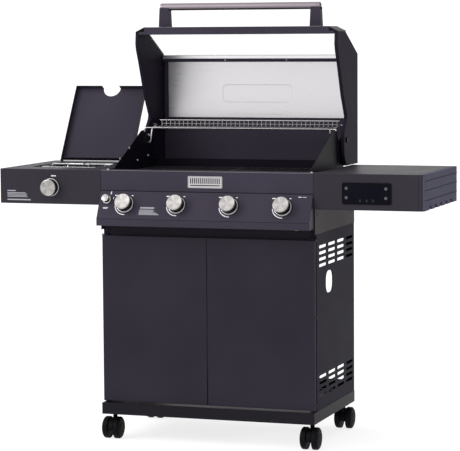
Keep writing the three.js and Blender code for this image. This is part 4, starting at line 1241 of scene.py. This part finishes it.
def display():
    """Raised rounded frame round a sunken glossy screen, with four round keys and three touch marks."""
    low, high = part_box("display_panel")
    front = low.y
    middle = Vector(((low.x + high.x) / 2, front, (low.z + high.z) / 2))
    half = Vector(((high.x - low.x) / 2, 0, (high.z - low.z) / 2))
    place = facing(middle, -Y)
    bm = merged("display_panel")
    round_edges(bm, 0.0008, 2, 40)
    piece("display_housing", bm, "gloss_black", "cart", ("display_panel",), display_black)
    screen = bmesh.new()
    pane = round_rect((-half.x + 0.007, -half.z + 0.006), (half.x - 0.007, half.z - 0.006), 0.004)
    slab(screen, pane, 0.0004, place @ Matrix.Translation((0, 0, -0.0003)))
    piece("display_screen", screen, "gloss_black", "cart")
    keys = bmesh.new()
    for x in KEY_COLUMNS:
        for z in KEY_ROWS:
            spot = place @ Matrix.Translation((x, z, 0.0001))
            lathe(keys, [(0, 0), (0.0048, 0), (0.0046, 0.0009), (0.0036, 0.0012), (0, 0.0010)], spot, 28)
    piece("display_keys", keys, "grey_plastic", "cart", (), key_grey)
    marks = bmesh.new()
    for x in TOUCH_COLUMNS:
        spot = (x, TOUCH_LEVEL)
        outline = arc(spot, 0.0035, 200, 340, 8) + arc(spot, 0.0027, 340, 200, 8)
        slab(marks, outline, 0.0001, place @ Matrix.Translation((0, 0, 0.0001)))
        box(marks, (x - 0.0004, -0.0205, 0.0001), (x + 0.0004, -0.0165, 0.0002), place=place)
    piece("display_touch_marks", marks, "grey_plastic", "cart", (), key_grey)


def side_burner():
    """The burner and its lid, and a trivet of bent rods: a ring, four fingers and four legs."""
    refined("side_burner", 0.0008, least=50)
    refined("side_lid", 0.0007)
    low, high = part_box("side_trivet")
    middle = (low + high) / 2
    half = (high.x - low.x) / 2
    ring_rod, finger_rod, leg_rod = 0.0032, 0.0026, 0.003
    level = high.z - 0.0085
    reach = half - ring_rod
    bm = bmesh.new()
    corner = (middle.x - reach, middle.y - reach)
    outline = round_rect(corner, (middle.x + reach, middle.y + reach), 0.014, 6)
    wire(bm, [(x, y, level) for x, y in outline + outline[:1]], ring_rod, 10)
    base = Vector((middle.x, middle.y, 0))
    finger = high.z - finger_rod
    for turn in range(4):
        angle = turn * math.pi / 2
        out = Vector((math.cos(angle), math.sin(angle), 0))
        tip = base + out * 0.034
        path = [
            base + out * reach + Z * level, base + out * (half - 0.006) + Z * finger,
            tip + Z * finger, tip + Z * (finger - 0.006),
        ]
        wire(bm, path, finger_rod, 9, 0.0016, 3)
    leg = half - 0.0085
    for across in (-leg, leg):
        for along in (-leg, leg):
            at = base + X * across + Y * along
            wire(bm, [at + Z * (level + 0.001), at + Z * (low.z + 0.0002)], leg_rod, 9)
    piece("side_trivet_wires", bm, "chrome", "cart", ("side_trivet",))


studio()
camera()
cart()
shelf_brackets()
for corner in ("front_left", "front_right", "rear_left", "rear_right"):
    caster(corner)
control_panel()
knobs()
firebox()
warming_rack()
hood()
shelves()
side_burner()
bpy.context.scene.view_settings.view_transform = "Standard"
